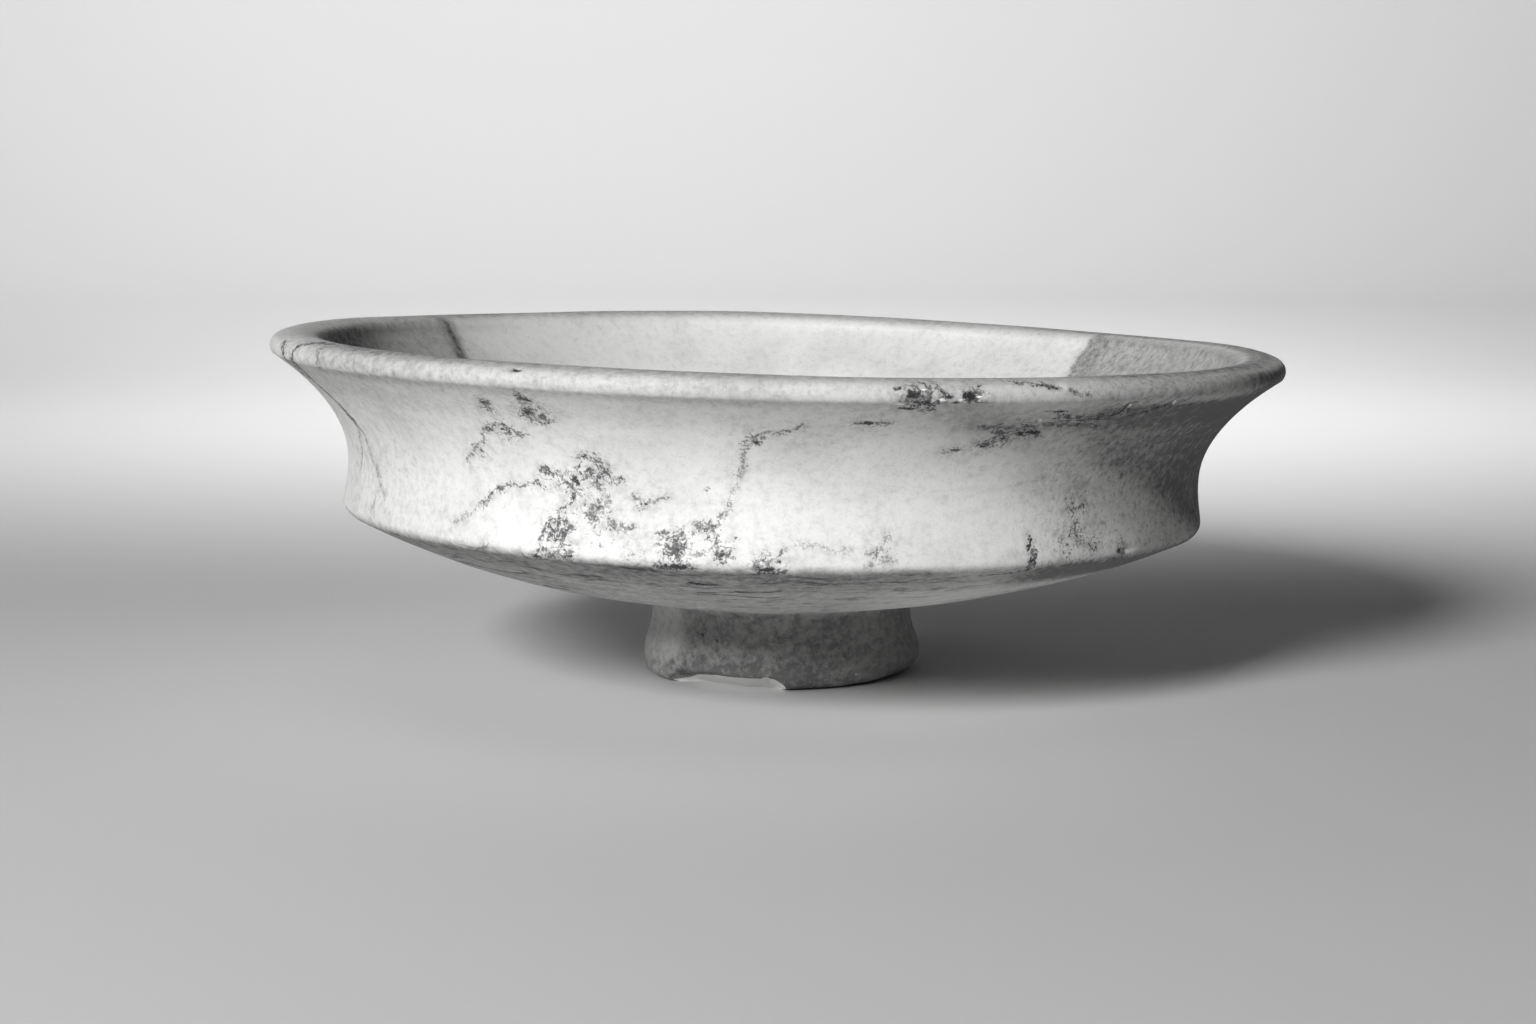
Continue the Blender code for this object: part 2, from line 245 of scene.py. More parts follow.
# Veins in the hollow, with the run for the height: the two joints, their way down the outside, the rest
HOLLOW_VEINS = (
    (0.60, 0.42, LEFT_JOINT),
    (1.10, 0.42, RIGHT_JOINT),
    (0.35, 0.60, ((-126.2, -1.0), (-126.6, 4.0), (-125.8, 10.0), (-127.2, 20.0), (-126.2, 31.0),
                  (-127.0, 39.0), (-128.0, 52.0), (-131.0, 66.0), (-134.0, 80.0), (-140.0, 91.0))),
    (0.35, 0.55, ((128.2, -1.0), (128.8, 5.0), (127.8, 14.0), (129.0, 25.0), (128.2, 35.0), (129.4, 40.0),
                  (131.0, 54.0), (134.0, 70.0), (139.0, 86.0), (146.0, 92.0))),
    (0.36, 0.70, ((-40.0, -30.0), (-44.0, -36.0), (-40.0, -44.0), (-30.0, -52.0), (-34.0, -60.0))),
    (0.30, 0.60, ((-30.0, -52.0), (-16.0, -56.0), (-8.0, -64.0))),
    (0.40, 0.75, ((60.0, -26.0), (64.0, -34.0), (58.0, -42.0), (66.0, -50.0), (80.0, -58.0))),
    (0.28, 0.55, ((58.0, -42.0), (44.0, -46.0), (36.0, -54.0))),
    (0.34, 0.65, ((150.0, -20.0), (146.0, -28.0), (150.0, -38.0), (140.0, -46.0), (150.0, -58.0))),
    (0.30, 0.60, ((-80.0, -46.0), (-90.0, -54.0), (-84.0, -64.0))),
    (0.30, 0.60, ((-160.0, -30.0), (-158.0, -37.0), (-163.0, -43.0), (-157.0, -52.0), (-165.0, -60.0))),
    (0.30, 0.60, ((20.0, -8.0), (17.0, -16.0), (21.0, -24.0), (14.0, -32.0))),
    (0.26, 0.60, ((96.0, -3.0), (98.0, 1.0), (95.0, 4.0), (97.0, 7.0))),
)

# Dark patches on the outside: turn, height, half breadth and half height in millimetres, darkness
DARK_PATCHES = (
    (11.0, 58.5, 1.5, 0.8, 0.62),
    (12.3, 57.5, 1.7, 1.1, 1.0),
    (13.6, 56.2, 1.8, 0.9, 1.0),
    (12.2, 55.3, 2.2, 0.45, 0.95),
    (14.6, 55.1, 1.5, 0.4, 0.85),
    (14.6, 59.4, 1.2, 0.35, 0.60),
    (15.9, 57.3, 1.0, 0.4, 0.80),
    (16.5, 56.4, 1.0, 0.4, 0.80),
    (18.2, 57.4, 1.6, 1.3, 1.0),
    (18.9, 59.0, 0.8, 0.6, 0.55),
    (8.9, 52.8, 3.0, 0.6, 0.90),
    (19.4, 48.4, 1.5, 0.4, 0.80),
    (22.8, 49.1, 1.3, 0.8, 0.80),
    (24.4, 50.1, 1.6, 0.6, 0.75),
    (26.8, 51.0, 3.4, 0.7, 0.90),
    (28.8, 54.7, 2.6, 0.5, 0.85),
    (27.6, 58.7, 1.0, 0.4, 1.0),
    (31.0, 57.4, 1.0, 0.3, 0.62),
    (37.3, 55.0, 0.6, 1.2, 0.95),
    (43.2, 55.1, 1.5, 0.5, 0.80),
    (47.8, 54.8, 0.8, 0.7, 0.70),
    (-26.9, 59.3, 1.1, 0.4, 1.0),
    (-32.2, 53.5, 1.5, 1.9, 0.76),
    (-26.8, 54.6, 1.8, 2.0, 0.72),
    (-27.4, 52.2, 1.5, 1.5, 0.70),
    (-25.8, 51.0, 2.0, 0.9, 0.68),
    (-31.7, 48.9, 1.5, 0.6, 0.66),
    (-29.4, 48.6, 2.0, 0.6, 0.54),
    (-33.9, 48.9, 1.1, 1.0, 0.68),
    (-35.6, 46.8, 1.0, 1.0, 0.54),
    (-22.5, 45.5, 1.6, 0.6, 0.66),
    (-19.7, 43.4, 1.6, 0.8, 0.64),
    (-18.3, 42.4, 1.1, 0.5, 0.56),
    (-26.3, 42.3, 1.5, 0.6, 0.63),
    (-24.2, 41.5, 1.2, 1.0, 0.68),
    (-24.5, 39.2, 1.0, 1.5, 0.68),
    (-22.2, 41.0, 1.0, 0.8, 0.58),
    (-34.9, 39.0, 1.5, 0.8, 0.46),
    (-65.4, 56.0, 1.6, 0.9, 0.62),
    (-66.8, 54.9, 1.7, 1.2, 0.72),
    (-67.8, 53.4, 1.6, 1.2, 0.62),
    (-32.8, 40.0, 1.4, 0.5, 0.59),
    (-29.8, 40.3, 1.2, 0.4, 0.56),
    (-20.0, 38.7, 0.9, 1.1, 0.61),
    (-22.1, 35.9, 1.2, 0.8, 0.63),
    (-18.3, 34.9, 1.8, 0.6, 0.62),
    (-15.8, 38.5, 1.2, 0.6, 0.57),
    (-12.9, 39.7, 0.8, 0.6, 0.53),
    (-8.3, 41.3, 0.8, 0.9, 0.48),
    (-27.8, 32.8, 1.2, 1.1, 0.68),
    (-26.6, 31.9, 1.4, 0.9, 0.66),
    (-25.1, 33.6, 1.8, 0.6, 0.64),
    (-20.9, 31.6, 1.1, 0.8, 0.58),
    (-29.2, 28.9, 2.0, 0.6, 0.68),
    (-24.8, 29.7, 1.8, 0.4, 0.60),
    (-13.3, 34.2, 1.4, 0.6, 0.63),
    (-11.5, 31.9, 1.2, 1.5, 0.68),
    (-10.9, 33.5, 1.0, 0.9, 0.64),
    (-7.0, 33.2, 0.9, 1.4, 0.68),
    (-6.2, 31.7, 0.9, 0.8, 0.65),
    (-8.6, 35.5, 1.1, 0.6, 0.59),
    (-4.9, 34.0, 1.2, 0.6, 0.54),
    (-1.5, 29.4, 1.9, 0.6, 0.95),
    (0.3, 30.7, 1.0, 0.6, 0.59),
    (-2.5, 49.1, 1.4, 0.8, 0.65),
    (-3.6, 48.4, 0.9, 0.8, 0.61),
    (-4.3, 43.5, 0.9, 0.6, 0.58),
    (-4.2, 45.4, 0.5, 0.8, 0.53),
    (29.8, 28.0, 1.6, 0.6, 0.60),
    (37.0, 39.5, 0.9, 0.6, 0.62),
    (40.1, 38.7, 0.8, 0.7, 0.66),
    (38.5, 34.6, 0.7, 1.0, 0.66),
    (41.0, 32.0, 0.8, 0.9, 0.66),
    (34.6, 36.4, 0.8, 0.6, 0.54),
    (43.6, 35.6, 0.8, 0.8, 0.54),
    (46.6, 30.6, 1.1, 0.8, 0.74),
    (-11.6, 29.2, 3.6, 0.6, 0.95),
    (-9.9, 25.8, 3.6, 1.2, 0.90),
    (-37.0, 9.4, 1.6, 0.9, 0.60),
    (-27.0, 8.6, 2.4, 0.9, 0.42),
    (-13.0, 6.4, 2.2, 1.4, 0.48),
    (26.5, 6.0, 1.2, 1.0, 0.45),
    (5.0, 7.0, 2.6, 1.2, 0.36),
)

# White flecks and bruises on the outside, some of them painted highlights at chips, laid out as the dark
# patches are
WHITE_FLECKS_AND_HIGHLIGHTS = (
    (18.9, 57.3, 0.7, 0.3, 1.0),
    (11.0, 56.1, 1.3, 0.5, 0.90),
    (9.9, 55.4, 1.4, 0.4, 0.75),
    (14.9, 54.8, 0.9, 0.4, 0.90),
    (13.3, 58.5, 0.8, 0.3, 0.75),
    (15.1, 56.9, 0.6, 0.35, 0.85),
    (17.0, 56.8, 0.6, 0.35, 0.85),
    (27.6, 53.1, 0.4, 0.35, 0.95),
    (38.2, 54.8, 0.5, 0.8, 1.0),
    (39.4, 55.4, 0.6, 0.3, 0.75),
    (44.7, 55.2, 0.45, 0.7, 1.0),
    (46.4, 55.6, 0.5, 0.3, 0.70),
    (48.6, 30.1, 0.7, 0.5, 1.0),
    (31.8, 2.3, 0.6, 0.45, 0.8),
    (-94.0, 58.0, 0.6, 0.3, 0.8),
    (157.0, 57.4, 0.9, 0.3, 0.8),
)

# Chips and pits on the outside: turn, height, half breadth, half length, depth, and how flat their floor is
DENTS = (
    (-26.9, 59.3, 1.6, 0.9, 0.45, 0.7),
    (27.4, 58.8, 1.5, 0.9, 0.28, 0.6),
    (30.0, 57.8, 2.0, 0.8, 0.25, 0.7),
    (37.9, 55.2, 1.2, 1.5, 0.45, 0.6),
    (44.2, 55.4, 1.4, 1.2, 0.40, 0.6),
    (18.4, 57.2, 1.1, 1.0, 0.40, 0.7),
    (12.9, 56.4, 2.6, 1.5, 0.30, 0.7),
    (48.2, 30.2, 1.6, 1.0, 0.50, 0.6),
    (31.8, 30.4, 0.8, 1.8, 0.15, 0.8),
    (-7.1, 1.8, 1.0, 0.9, 0.50, 0.8),
    (31.8, 2.6, 1.2, 0.9, 0.35, 0.8),
    (-94.5, 58.2, 1.8, 1.0, 0.40, 0.6),
    (157.0, 57.6, 2.4, 0.9, 0.35, 0.6),
    (-152.0, 29.6, 2.0, 1.2, 0.40, 0.6),
    (98.0, 30.0, 1.8, 1.0, 0.40, 0.6),
)

# Networks of fine dark branches on the outside: turn, height, reach in millimetres, density
NETWORKS = (
    (-26.6, 52.2, 4.4, 0.86),
    (-32.4, 52.8, 3.2, 0.72),
    (-31.5, 48.8, 3.8, 0.74),
    (-37.0, 45.0, 3.4, 0.60),
    (-22.0, 43.4, 4.6, 0.80),
    (-25.0, 40.5, 4.0, 0.75),
    (-21.5, 38.0, 5.0, 0.60),
    (-32.5, 39.6, 3.0, 0.40),
    (-26.8, 33.4, 4.2, 0.86),
    (-20.5, 34.6, 5.0, 0.62),
    (-15.5, 38.6, 3.0, 0.50),
    (-26.0, 30.2, 4.4, 0.75),
    (-17.0, 30.8, 5.0, 0.50),
    (-11.6, 32.2, 4.4, 0.84),
    (-8.0, 35.0, 3.4, 0.70),
    (-6.4, 31.6, 3.6, 0.75),
    (-4.6, 44.0, 2.6, 0.50),
    (-3.0, 50.0, 3.0, 0.65),
    (-1.0, 29.6, 4.0, 0.75),
    (2.0, 50.0, 3.0, 0.45),
    (5.6, 49.5, 1.6, 0.40),
    (9.0, 53.0, 4.0, 0.60),
    (13.5, 57.0, 5.0, 0.90),
    (18.5, 57.2, 3.0, 0.80),
    (22.6, 49.2, 3.6, 0.65),
    (26.0, 51.4, 5.0, 0.70),
    (12.0, 32.4, 4.0, 0.55),
    (30.6, 52.5, 4.0, 0.55),
    (34.0, 43.0, 6.0, 0.46),
    (37.0, 32.0, 5.0, 0.60),
    (47.0, 30.6, 3.0, 0.70),
    (0.0, 27.0, 8.0, 0.55),
    (-20.0, 26.6, 8.0, 0.50),
    (-44.0, 31.0, 4.0, 0.30),
    (-64.0, 57.6, 4.0, 0.40),
    (-63.0, 40.0, 4.0, 0.35),
    (39.0, 38.4, 4.6, 0.70),
    (38.6, 34.0, 3.8, 0.68),
    (41.5, 31.8, 3.2, 0.68),
    (24.4, 50.4, 4.6, 0.72),
    (-95.0, 43.0, 5.0, 0.75),
    (-110.0, 30.5, 5.0, 0.60),
    (-144.0, 53.0, 4.0, 0.55),
    (-152.0, 40.0, 6.0, 0.80),
    (158.0, 39.0, 5.0, 0.80),
    (139.0, 52.0, 4.0, 0.45),
    (104.0, 36.0, 4.5, 0.60),
    (74.0, 36.0, 4.5, 0.45),
    (-76.0, 23.0, 6.0, 0.55),
    (-146.0, 23.0, 6.0, 0.55),
    (124.0, 23.0, 6.0, 0.60),
)

# Networks in the hollow, with the run in the height's stead
HOLLOW_NETWORKS = (
    (-34.0, -50.0, 7.0, 0.65),
    (-12.0, -60.0, 5.0, 0.50),
    (62.0, -42.0, 6.0, 0.65),
    (146.0, -44.0, 6.0, 0.60),
    (-84.0, -56.0, 5.0, 0.55),
    (-160.0, -42.0, 5.0, 0.45),
)

# Veins: how far their distances are kept, how near two may lie in one layer, the fade there, and their bloom
VEIN_CUTOFF = 3.0
VEIN_NEAR = 1.0
VEIN_FADE = 0.5
VEIN_BLOOM = 2.0
BLOOM_SHARE = 0.55

# Slanting lines on the outside: how far they fall in millimetres for a degree of the turn. The dark stain,
# partly the lip's painted shadow, lies above one. A soft painted shade lies along the other, given by its
# height at turn 0 and its half breadth
STAIN_AND_SHADOW_SLANT = 0.5
SHADE_SLANT = 0.42
SHADE_HEIGHT = 61.74
SHADE_BREADTH = 3.0

# How far the wall's greyness goes over the crest into the hollow, and further at the left end
CREST_FADE = 3.2
LEFT_REACH = 3.3
LEFT_FADE = 1.8

# The crest's own greyness, a painted shade: the run of its middle, and the distances from it where it begins
# and is full
CREST_MIDDLE = -1.5
CREST_SPREAD = (5.12, 1.92)

# How far one region takes another's place: the underside the bowl's, the lip the greyer right side's,
# the hollow the crest's, and the stain and painted shadow that of the beds
UNDERSIDE_COVER = 0.8
LIP_COVER = 0.7
HOLLOW_COVER = 0.7
STAIN_AND_SHADOW_COVER = 0.6

# The old joints' grey edges: half breadths, the left one's wandering, the right one's shift and softness
JOINT_BREADTH = 1.6
JOINT_WANDER = 0.6
JOINT_WAVE = 3.0
JOINT_RIGHT_BREADTH = 2.6
JOINT_RIGHT_SHIFT = 2.0
JOINT_RIGHT_SOFTNESS = 6.0

# Ramps of the weathering and painted shade: what is measured, where the ramp is 0, and where it is 1
BEFORE_BACK = ("turn", 150.0, 130.0)
RIGHT = (("turn", 27.0, 39.0), BEFORE_BACK)
UNDERSIDE_RIGHT = (("turn", 4.0, 32.0), BEFORE_BACK)
LEFT_END = (("turn", -50.0, -65.0), ("turn", -150.0, -110.0))
PALE_RIGHT = (("turn", 100.0, 130.0), ("turn", 178.0, 144.0))
# The dark stain's ramps, the stain partly the lip's painted shadow
STAINED_AND_SHADOWED = (("line of the stain and shadow", 63.0, 69.0), ("turn", 26.0, 40.0), BEFORE_BACK)
BELOW_LIP = (("height", 49.8, 52.3), ("height", 55.9, 54.5))
ON_FOOT = (("height", 14.5, 12.5),)
ON_UNDERSIDE = (("height", 30.4, 28.2),)
ON_LIP = (("height", 54.5, 56.0),)
LIP_TOP = (("height", 58.1, 59.5),)
LIP_FRONT = (("turn", 69.0, 53.0),)
IN_HOLLOW = (("run", -2.6, -5.1),)
JOINT_DEEP_END = (("run", JOINT_MEETING, JOINT_MEETING + 12.0),)

# Greyness, of weathering and painted shade, as parts that are added up: the region, the strength, which is
# less than 0 where the stone is lighter, and the ramps that bound the part
GREYNESS = (
    # The foot, greyed as painted shade under the bowl, darker low on the front, lighter on its left as
    # painted light, and lighter on its right
    ("foot", 0.78, ()),
    ("foot", 0.24, (("height", 7.0, 3.5), ("turn", -62.0, -44.0), ("turn", 30.0, 5.0))),
    ("foot", -0.44, (("turn", -40.0, -54.0), ("turn", -120.0, -80.0), ("height", 2.5, 6.5))),
    ("foot", -0.14, RIGHT),

    # The underside, greyed as painted shade under the bowl, less on the right but for the shoulder's dark
    # edge, which goes on at the front
    ("underside", 0.50, ()),
    ("underside", -0.44, UNDERSIDE_RIGHT + (("radius", 72.0, 64.0),)),
    ("underside", 0.95, RIGHT + (("radius", 60.0, 70.0),)),
    ("underside", 0.26, (("radius", 65.0, 74.0), ("turn", -78.0, -48.0), ("turn", 28.0, 6.0))),

    # The lip, greyed as painted shade, greyer to the left and to the right, but not at the right end
    ("lip", 0.26, ()),
    ("lip", 0.13, (("turn", 4.0, -6.0), ("turn", -178.0, -128.0))),
    ("lip", 0.20, RIGHT),
    ("lip", -0.20, (("turn", 60.0, 75.0), BEFORE_BACK)),

    # The shade under the lip, and its slanting part on the right
    ("outside", 0.12, BELOW_LIP),
    ("outside", 0.16, BELOW_LIP + (("turn", 6.0, 28.0), BEFORE_BACK)),
    ("slanting shade", 0.28, (("turn", 8.0, 22.0), ("turn", 54.0, 42.0))),

    # The bowl's two sides, the right one partly painted shade, and the dark stain on the right, partly the
    # lip's painted shadow
    ("bowl under the lip", 0.42, (("turn", 33.0, 67.0), BEFORE_BACK)),
    ("bowl but its clear lip", 0.72, STAINED_AND_SHADOWED),
    ("bowl but its left lip", 0.28, (("turn", -18.0, -58.0), ("turn", -150.0, -130.0))),

    # The crest of the lip, greyed as painted shade
    ("crest", 0.28, ()),
    ("outer crest", 0.18, RIGHT),
    ("crest", -0.20, LEFT_END),

    # The hollow, greyed as darker stone and on its left as painted shade, greyer rightwards, and darkest at
    # the left end with painted shade
    ("hollow", 0.37, ()),
    ("hollow", 0.31, (("way across", -42.0, 42.0),)),
    ("hollow", 0.58, (("turn", -80.0, -85.0), ("turn", -113.0, -99.0), ("run", -4.0, -6.0),
                      ("run", -52.0, -32.0))),

    # The two old joints and the pale piece between them
    ("left joint", 0.75, JOINT_DEEP_END),
    ("right joint", 0.20, JOINT_DEEP_END),
    ("pale piece", 0.12, PALE_RIGHT),
)

# How strong the slanting beds are, and the streaks, in the same way
BEDS = (
    ("everywhere", 0.12, ()),
    ("outside but the foot, the stain and the shadow", 0.52, RIGHT),
    ("lip", 0.06, ()),
    ("pale piece", -0.27, ()),
    ("pale piece", 0.27, PALE_RIGHT),
)
STREAKS = (
    ("underside", 0.95, ()),
    ("underside", -0.60, UNDERSIDE_RIGHT),
    ("foot", 0.2, ()),
)

# The fresh white on the spall, partly painted light on its face: its height, the ramps at its ends, the
# broken depth where it is full, and its upper edge's breadth
FRESH_AND_LIT_HEIGHT = 2.2
FRESH_AND_LIT_ENDS = (("turn", -58.0, -32.0), ("turn", 6.0, -6.0))
FRESH_AND_LIT_DEPTH = 0.5
FRESH_AND_LIT_EDGE = 0.4

# The stone's colours, how it is bedded, by the beds' turn and their stretch along each axis, and how far
# round the streaks are drawn out
STONE_LIGHT = (0.84, 0.838, 0.83, 1.0)
STONE_CLOUD = (0.50, 0.50, 0.497, 1.0)
# The white of fresh breaks, also standing for painted light on the spall and painted highlights at chips
STONE_FRESH_AND_LIT = (0.93, 0.925, 0.915, 1.0)
VEIN_COLOUR = (0.045, 0.045, 0.047, 1.0)
# The grey that weathering and painted shade give
STONE_WEATHERED_AND_SHADED = (0.20, 0.20, 0.198, 1.0)
STREAK_COLOUR = (0.12, 0.12, 0.12, 1.0)
BEDDING_TURN = (0.0, math.radians(38.0), 0.0)
BEDDING_STRETCH = (0.22, 0.35, 1.0)
STREAK_SPREAD = 4.5

# How much each pattern greys the ground, and the speckles' middle, round which they mottle the greyness
CLOUD_SHARE = 0.30
BED_SHARE = 0.9
LEAST_BED_SHARE = 0.16
FLECK_SHARE = 0.30
SPECKLE_SHARE = 0.75
GRAIN_SHARE = 0.10
SPECKLE_MIDDLE = 0.4

# How dark the veins and the branches are at most, how strongly crumbs tear the dark patches' edges, and how
# strongly that tears the edges of the fresh breaks and of their painted light
VEIN_SHARE = 0.95
BRANCH_SHARE = 0.9
CRUMBLED_EDGE = 0.35
TORN_FRESH_AND_LIT_EDGE = 0.6

# Relief too fine for the mesh, in millimetres, how strongly it shows, and the roughness of greyed stone
GRAIN_RELIEF = 0.05
FLECK_RELIEF = 0.10
MARK_RELIEF = 0.04
RELIEF_STRENGTH = 0.6
GREYED_ROUGHNESS = 0.30

# Veins: their reach for their breadth, where their ridge begins and is full, and the breadths where they
# begin to show and are full
VEIN_REACH = 1.5
VEIN_LEAST_REACH = 0.10
VEIN_EDGE = (0.22, 0.95)
VEIN_SHOWN = (0.02, 0.16)

# Two contour noises that the fine branches follow: their place in the noise, and their size in millimetres.
# Then how sharp the contours are, how the density spreads them, where they begin and are full, and the
# densities where they begin to show and are full
BRANCH_NOISES = (
    ((0.0, 0.0, 0.0), 2.6),
    ((17.0, 5.0, 29.0), 3.8),
)
BRANCH_SHARPNESS = 26.0
BRANCH_SPREAD = 2.6
BRANCH_START = -1.5
BRANCH_EDGE = (0.35, 1.25)
BRANCH_SHOWN = (0.12, 0.65)

# The places in the noise of the lumps that swell the veins, and of the crumbs that break them
LUMP_SHIFT = (3.0, 19.0, 7.0)
CRUMB_SHIFT = (31.0, 7.0, 13.0)

# The floor and the backdrop in metres: flat rings, the sweep's radius and the wall's top
FLOOR_COLOUR = (0.70, 0.70, 0.70, 1.0)
FLOOR_RINGS = (0.3, 0.8, 1.4)
SWEEP_RADIUS = 1.0
SWEEP_ROWS = 24
BACKDROP_TOP = 2.6
FLOOR_COLUMNS = 96

# The key light: its direction and spread in degrees, distance and size in metres, strength in watts
KEY_TURN = -31.0
KEY_ELEVATION = 27.5
KEY_DISTANCE = 1.3
KEY_AIM = (0.0, 0.0, 0.04)
KEY_SIZE = 0.36
KEY_POWER = 2.80
KEY_SPREAD = 80.0

# The other lights in the same units: name, place, the point it faces, size, strength and spread
FAR_LIGHTS = (
    ("backdrop_light", (-0.24, 0.66, 1.50), (-0.24, 2.22, 0.98), 0.8, 17.2, 143.0),
    ("far_floor_light", (0.02, 0.31, 0.58), (0.02, 1.10, 0.01), 0.3, 3.7, 149.0),
)

# The even light from all round
SURROUNDINGS = 0.02

# The camera, as it stood when the photograph was taken: place and lens in millimetres, angles in radians
CAMERA_PLACE = (-5.57, -475.2, 90.16)
CAMERA_TURN = 0.0066
CAMERA_DOWN = 0.1292
CAMERA_ROLL = 0.0002
CAMERA_LENS = 62.1
CAMERA_SENSOR = 36.0


def arc(centre, radius, start, end, count):
    """Points on a circle: its centre plus its radius along evenly spaced angles, in degrees."""
    angle = np.radians(np.linspace(start, end, count + 1))
    return np.column_stack((centre[0] + radius * np.cos(angle), centre[1] + radius * np.sin(angle)))


def bezier(first, first_handle, second_handle, second, count):
    """Points on a cubic curve: its four points in the shares that the cube of (1 - t) + t opens into."""
    t = np.linspace(0.0, 1.0, count + 1)[:, None]
    ends = [np.array(point, float) for point in (first, first_handle, second_handle, second)]
    shares = ((1 - t) ** 3, 3 * t * (1 - t) ** 2, 3 * t * t * (1 - t), t ** 3)
    return sum(share * point for share, point in zip(shares, ends))


def underside_height(radius):
    """Height of the underside: a straight slope, and a rise that grows by a power of the run."""
    run = np.maximum(radius - NECK_RADIUS, 0.0)
    whole_run = SHOULDER_RADIUS - NECK_RADIUS
    extra_rise = SHOULDER_HEIGHT - NECK_HEIGHT - UNDERSIDE_SLOPE * whole_run
    return NECK_HEIGHT + UNDERSIDE_SLOPE * run + extra_rise * (run / whole_run) ** UNDERSIDE_CURVE


def floor_height(radius):
    """Height of the hollow's floor: a parabola from its middle to its edge."""
    middle = NECK_HEIGHT + FLOOR_THICKNESS
    edge = underside_height(INNER_RADIUS) + FLOOR_THICKNESS
    return middle + (edge - middle) * (radius / INNER_RADIUS) ** 2


def lip_parts():
    """The lip's inner round, its crown and its outer round: an arc, a cubic curve and an arc."""
    shelf = RIM_HEIGHT - LIP_CROWN
    inner_centre = (RIM_RADIUS - LIP_WIDTH + LIP_INNER_ROUND, shelf - LIP_INNER_ROUND)
    outer_centre = (RIM_RADIUS - LIP_OUTER_ROUND, shelf - LIP_OUTER_ROUND)
    inner = arc(inner_centre, LIP_INNER_ROUND, 170, 110, INNER_LIP_ROWS)
    outer = arc(outer_centre, LIP_OUTER_ROUND, 70, -35, OUTER_LIP_ROWS)
    pull = (outer[0, 0] - inner[-1, 0]) / 3
    rise = np.array((pull, pull * math.tan(CROWN_SLOPE)))
    fall = np.array((-pull, pull * math.tan(CROWN_SLOPE)))
    crown = bezier(inner[-1], inner[-1] + rise, outer[0] + fall, outer[0], CROWN_ROWS)
    return inner, crown, outer


def flared_wall(lip_end):
    """The wall's outside: one concave cubic curve from the lip to the waist, and one on to the shoulder."""
    end_handle = lip_end - FLARE_END_PULL * np.array((math.cos(FLARE_ANGLE), math.sin(FLARE_ANGLE)))
    waist = (WAIST_RADIUS, WAIST_HEIGHT)
    start_handle = (WAIST_RADIUS, WAIST_HEIGHT + FLARE_START_PULL)
    flare = bezier(lip_end, end_handle, start_handle, waist, FLARE_ROWS * 3 // 4)
    waist_handle = (WAIST_RADIUS, WAIST_HEIGHT - WAIST_PULL)
    shoulder_handle = (SHOULDER_RADIUS - SHOULDER_LEAN, SHOULDER_TOP + SHOULDER_PULL)
    wall = bezier(waist, waist_handle, shoulder_handle, (SHOULDER_RADIUS, SHOULDER_TOP), FLARE_ROWS // 4)
    return np.vstack((flare, wall[1:]))


def hollow(lip_start):
    """The hollow's section: its floor's parabola, a cubic corner and a cubic wall up to the lip."""
    corner_radius = INNER_RADIUS - INNER_CORNER
    radius = np.linspace(0.0, corner_radius, FLOOR_ROWS + 1)
    floor = np.column_stack((radius, floor_height(radius)))
    corner_end = (INNER_RADIUS, floor_height(INNER_RADIUS) + INNER_CORNER)
    slope = (floor_height(INNER_RADIUS) - floor[-1, 1]) / INNER_CORNER
    floor_handle = (corner_radius + INNER_CORNER_PULL, floor[-1, 1] + INNER_CORNER_PULL * slope)
    corner_handle = (INNER_RADIUS, corner_end[1] - INNER_CORNER_PULL)
    corner = bezier(floor[-1], floor_handle, corner_handle, corner_end, CORNER_ROWS)
    lip_slope = np.array((math.cos(INNER_LIP_ANGLE), math.sin(INNER_LIP_ANGLE)))
    lip_handle = lip_start - INNER_WALL_PULL * lip_slope
    wall_handle = (INNER_RADIUS, corner_end[1] + INNER_WALL_PULL)
    wall = bezier(corner_end, wall_handle, lip_handle, lip_start, INNER_WALL_ROWS)
    return np.vstack((floor, corner[1:], wall[1:]))


def foot():
    """The foot's section: the neck's fillet, a cubic side, an upright band, a round edge, the flat base."""
    centre_height = underside_height(NECK_RADIUS + NECK_FILLET) - NECK_FILLET
    fillet = arc((NECK_RADIUS + NECK_FILLET, centre_height), NECK_FILLET, 90, 180, FILLET_ROWS)
    widest = (FOOT_RADIUS, FOOT_WIDEST_HEIGHT)
    neck_handle = (NECK_RADIUS, centre_height - FOOT_SIDE_PULL)
    widest_handle = (FOOT_RADIUS, FOOT_WIDEST_HEIGHT + FOOT_SIDE_PULL / 2)
    side = bezier(fillet[-1], neck_handle, widest_handle, widest, FOOT_SIDE_ROWS)
    upright_height = np.linspace(FOOT_WIDEST_HEIGHT, FOOT_EDGE_ROUND, FOOT_UPRIGHT_ROWS + 1)
    upright = np.column_stack((np.full_like(upright_height, FOOT_RADIUS), upright_height))
    edge = arc((FLAT_RADIUS, FOOT_EDGE_ROUND), FOOT_EDGE_ROUND, 0, -90, FOOT_EDGE_ROWS)
    radius = np.linspace(FLAT_RADIUS, 0.0, BASE_ROWS + 1)[1:]
    base = np.column_stack((radius, np.zeros_like(radius)))
    return np.vstack((fillet, side[1:], upright[1:], edge[1:], base))


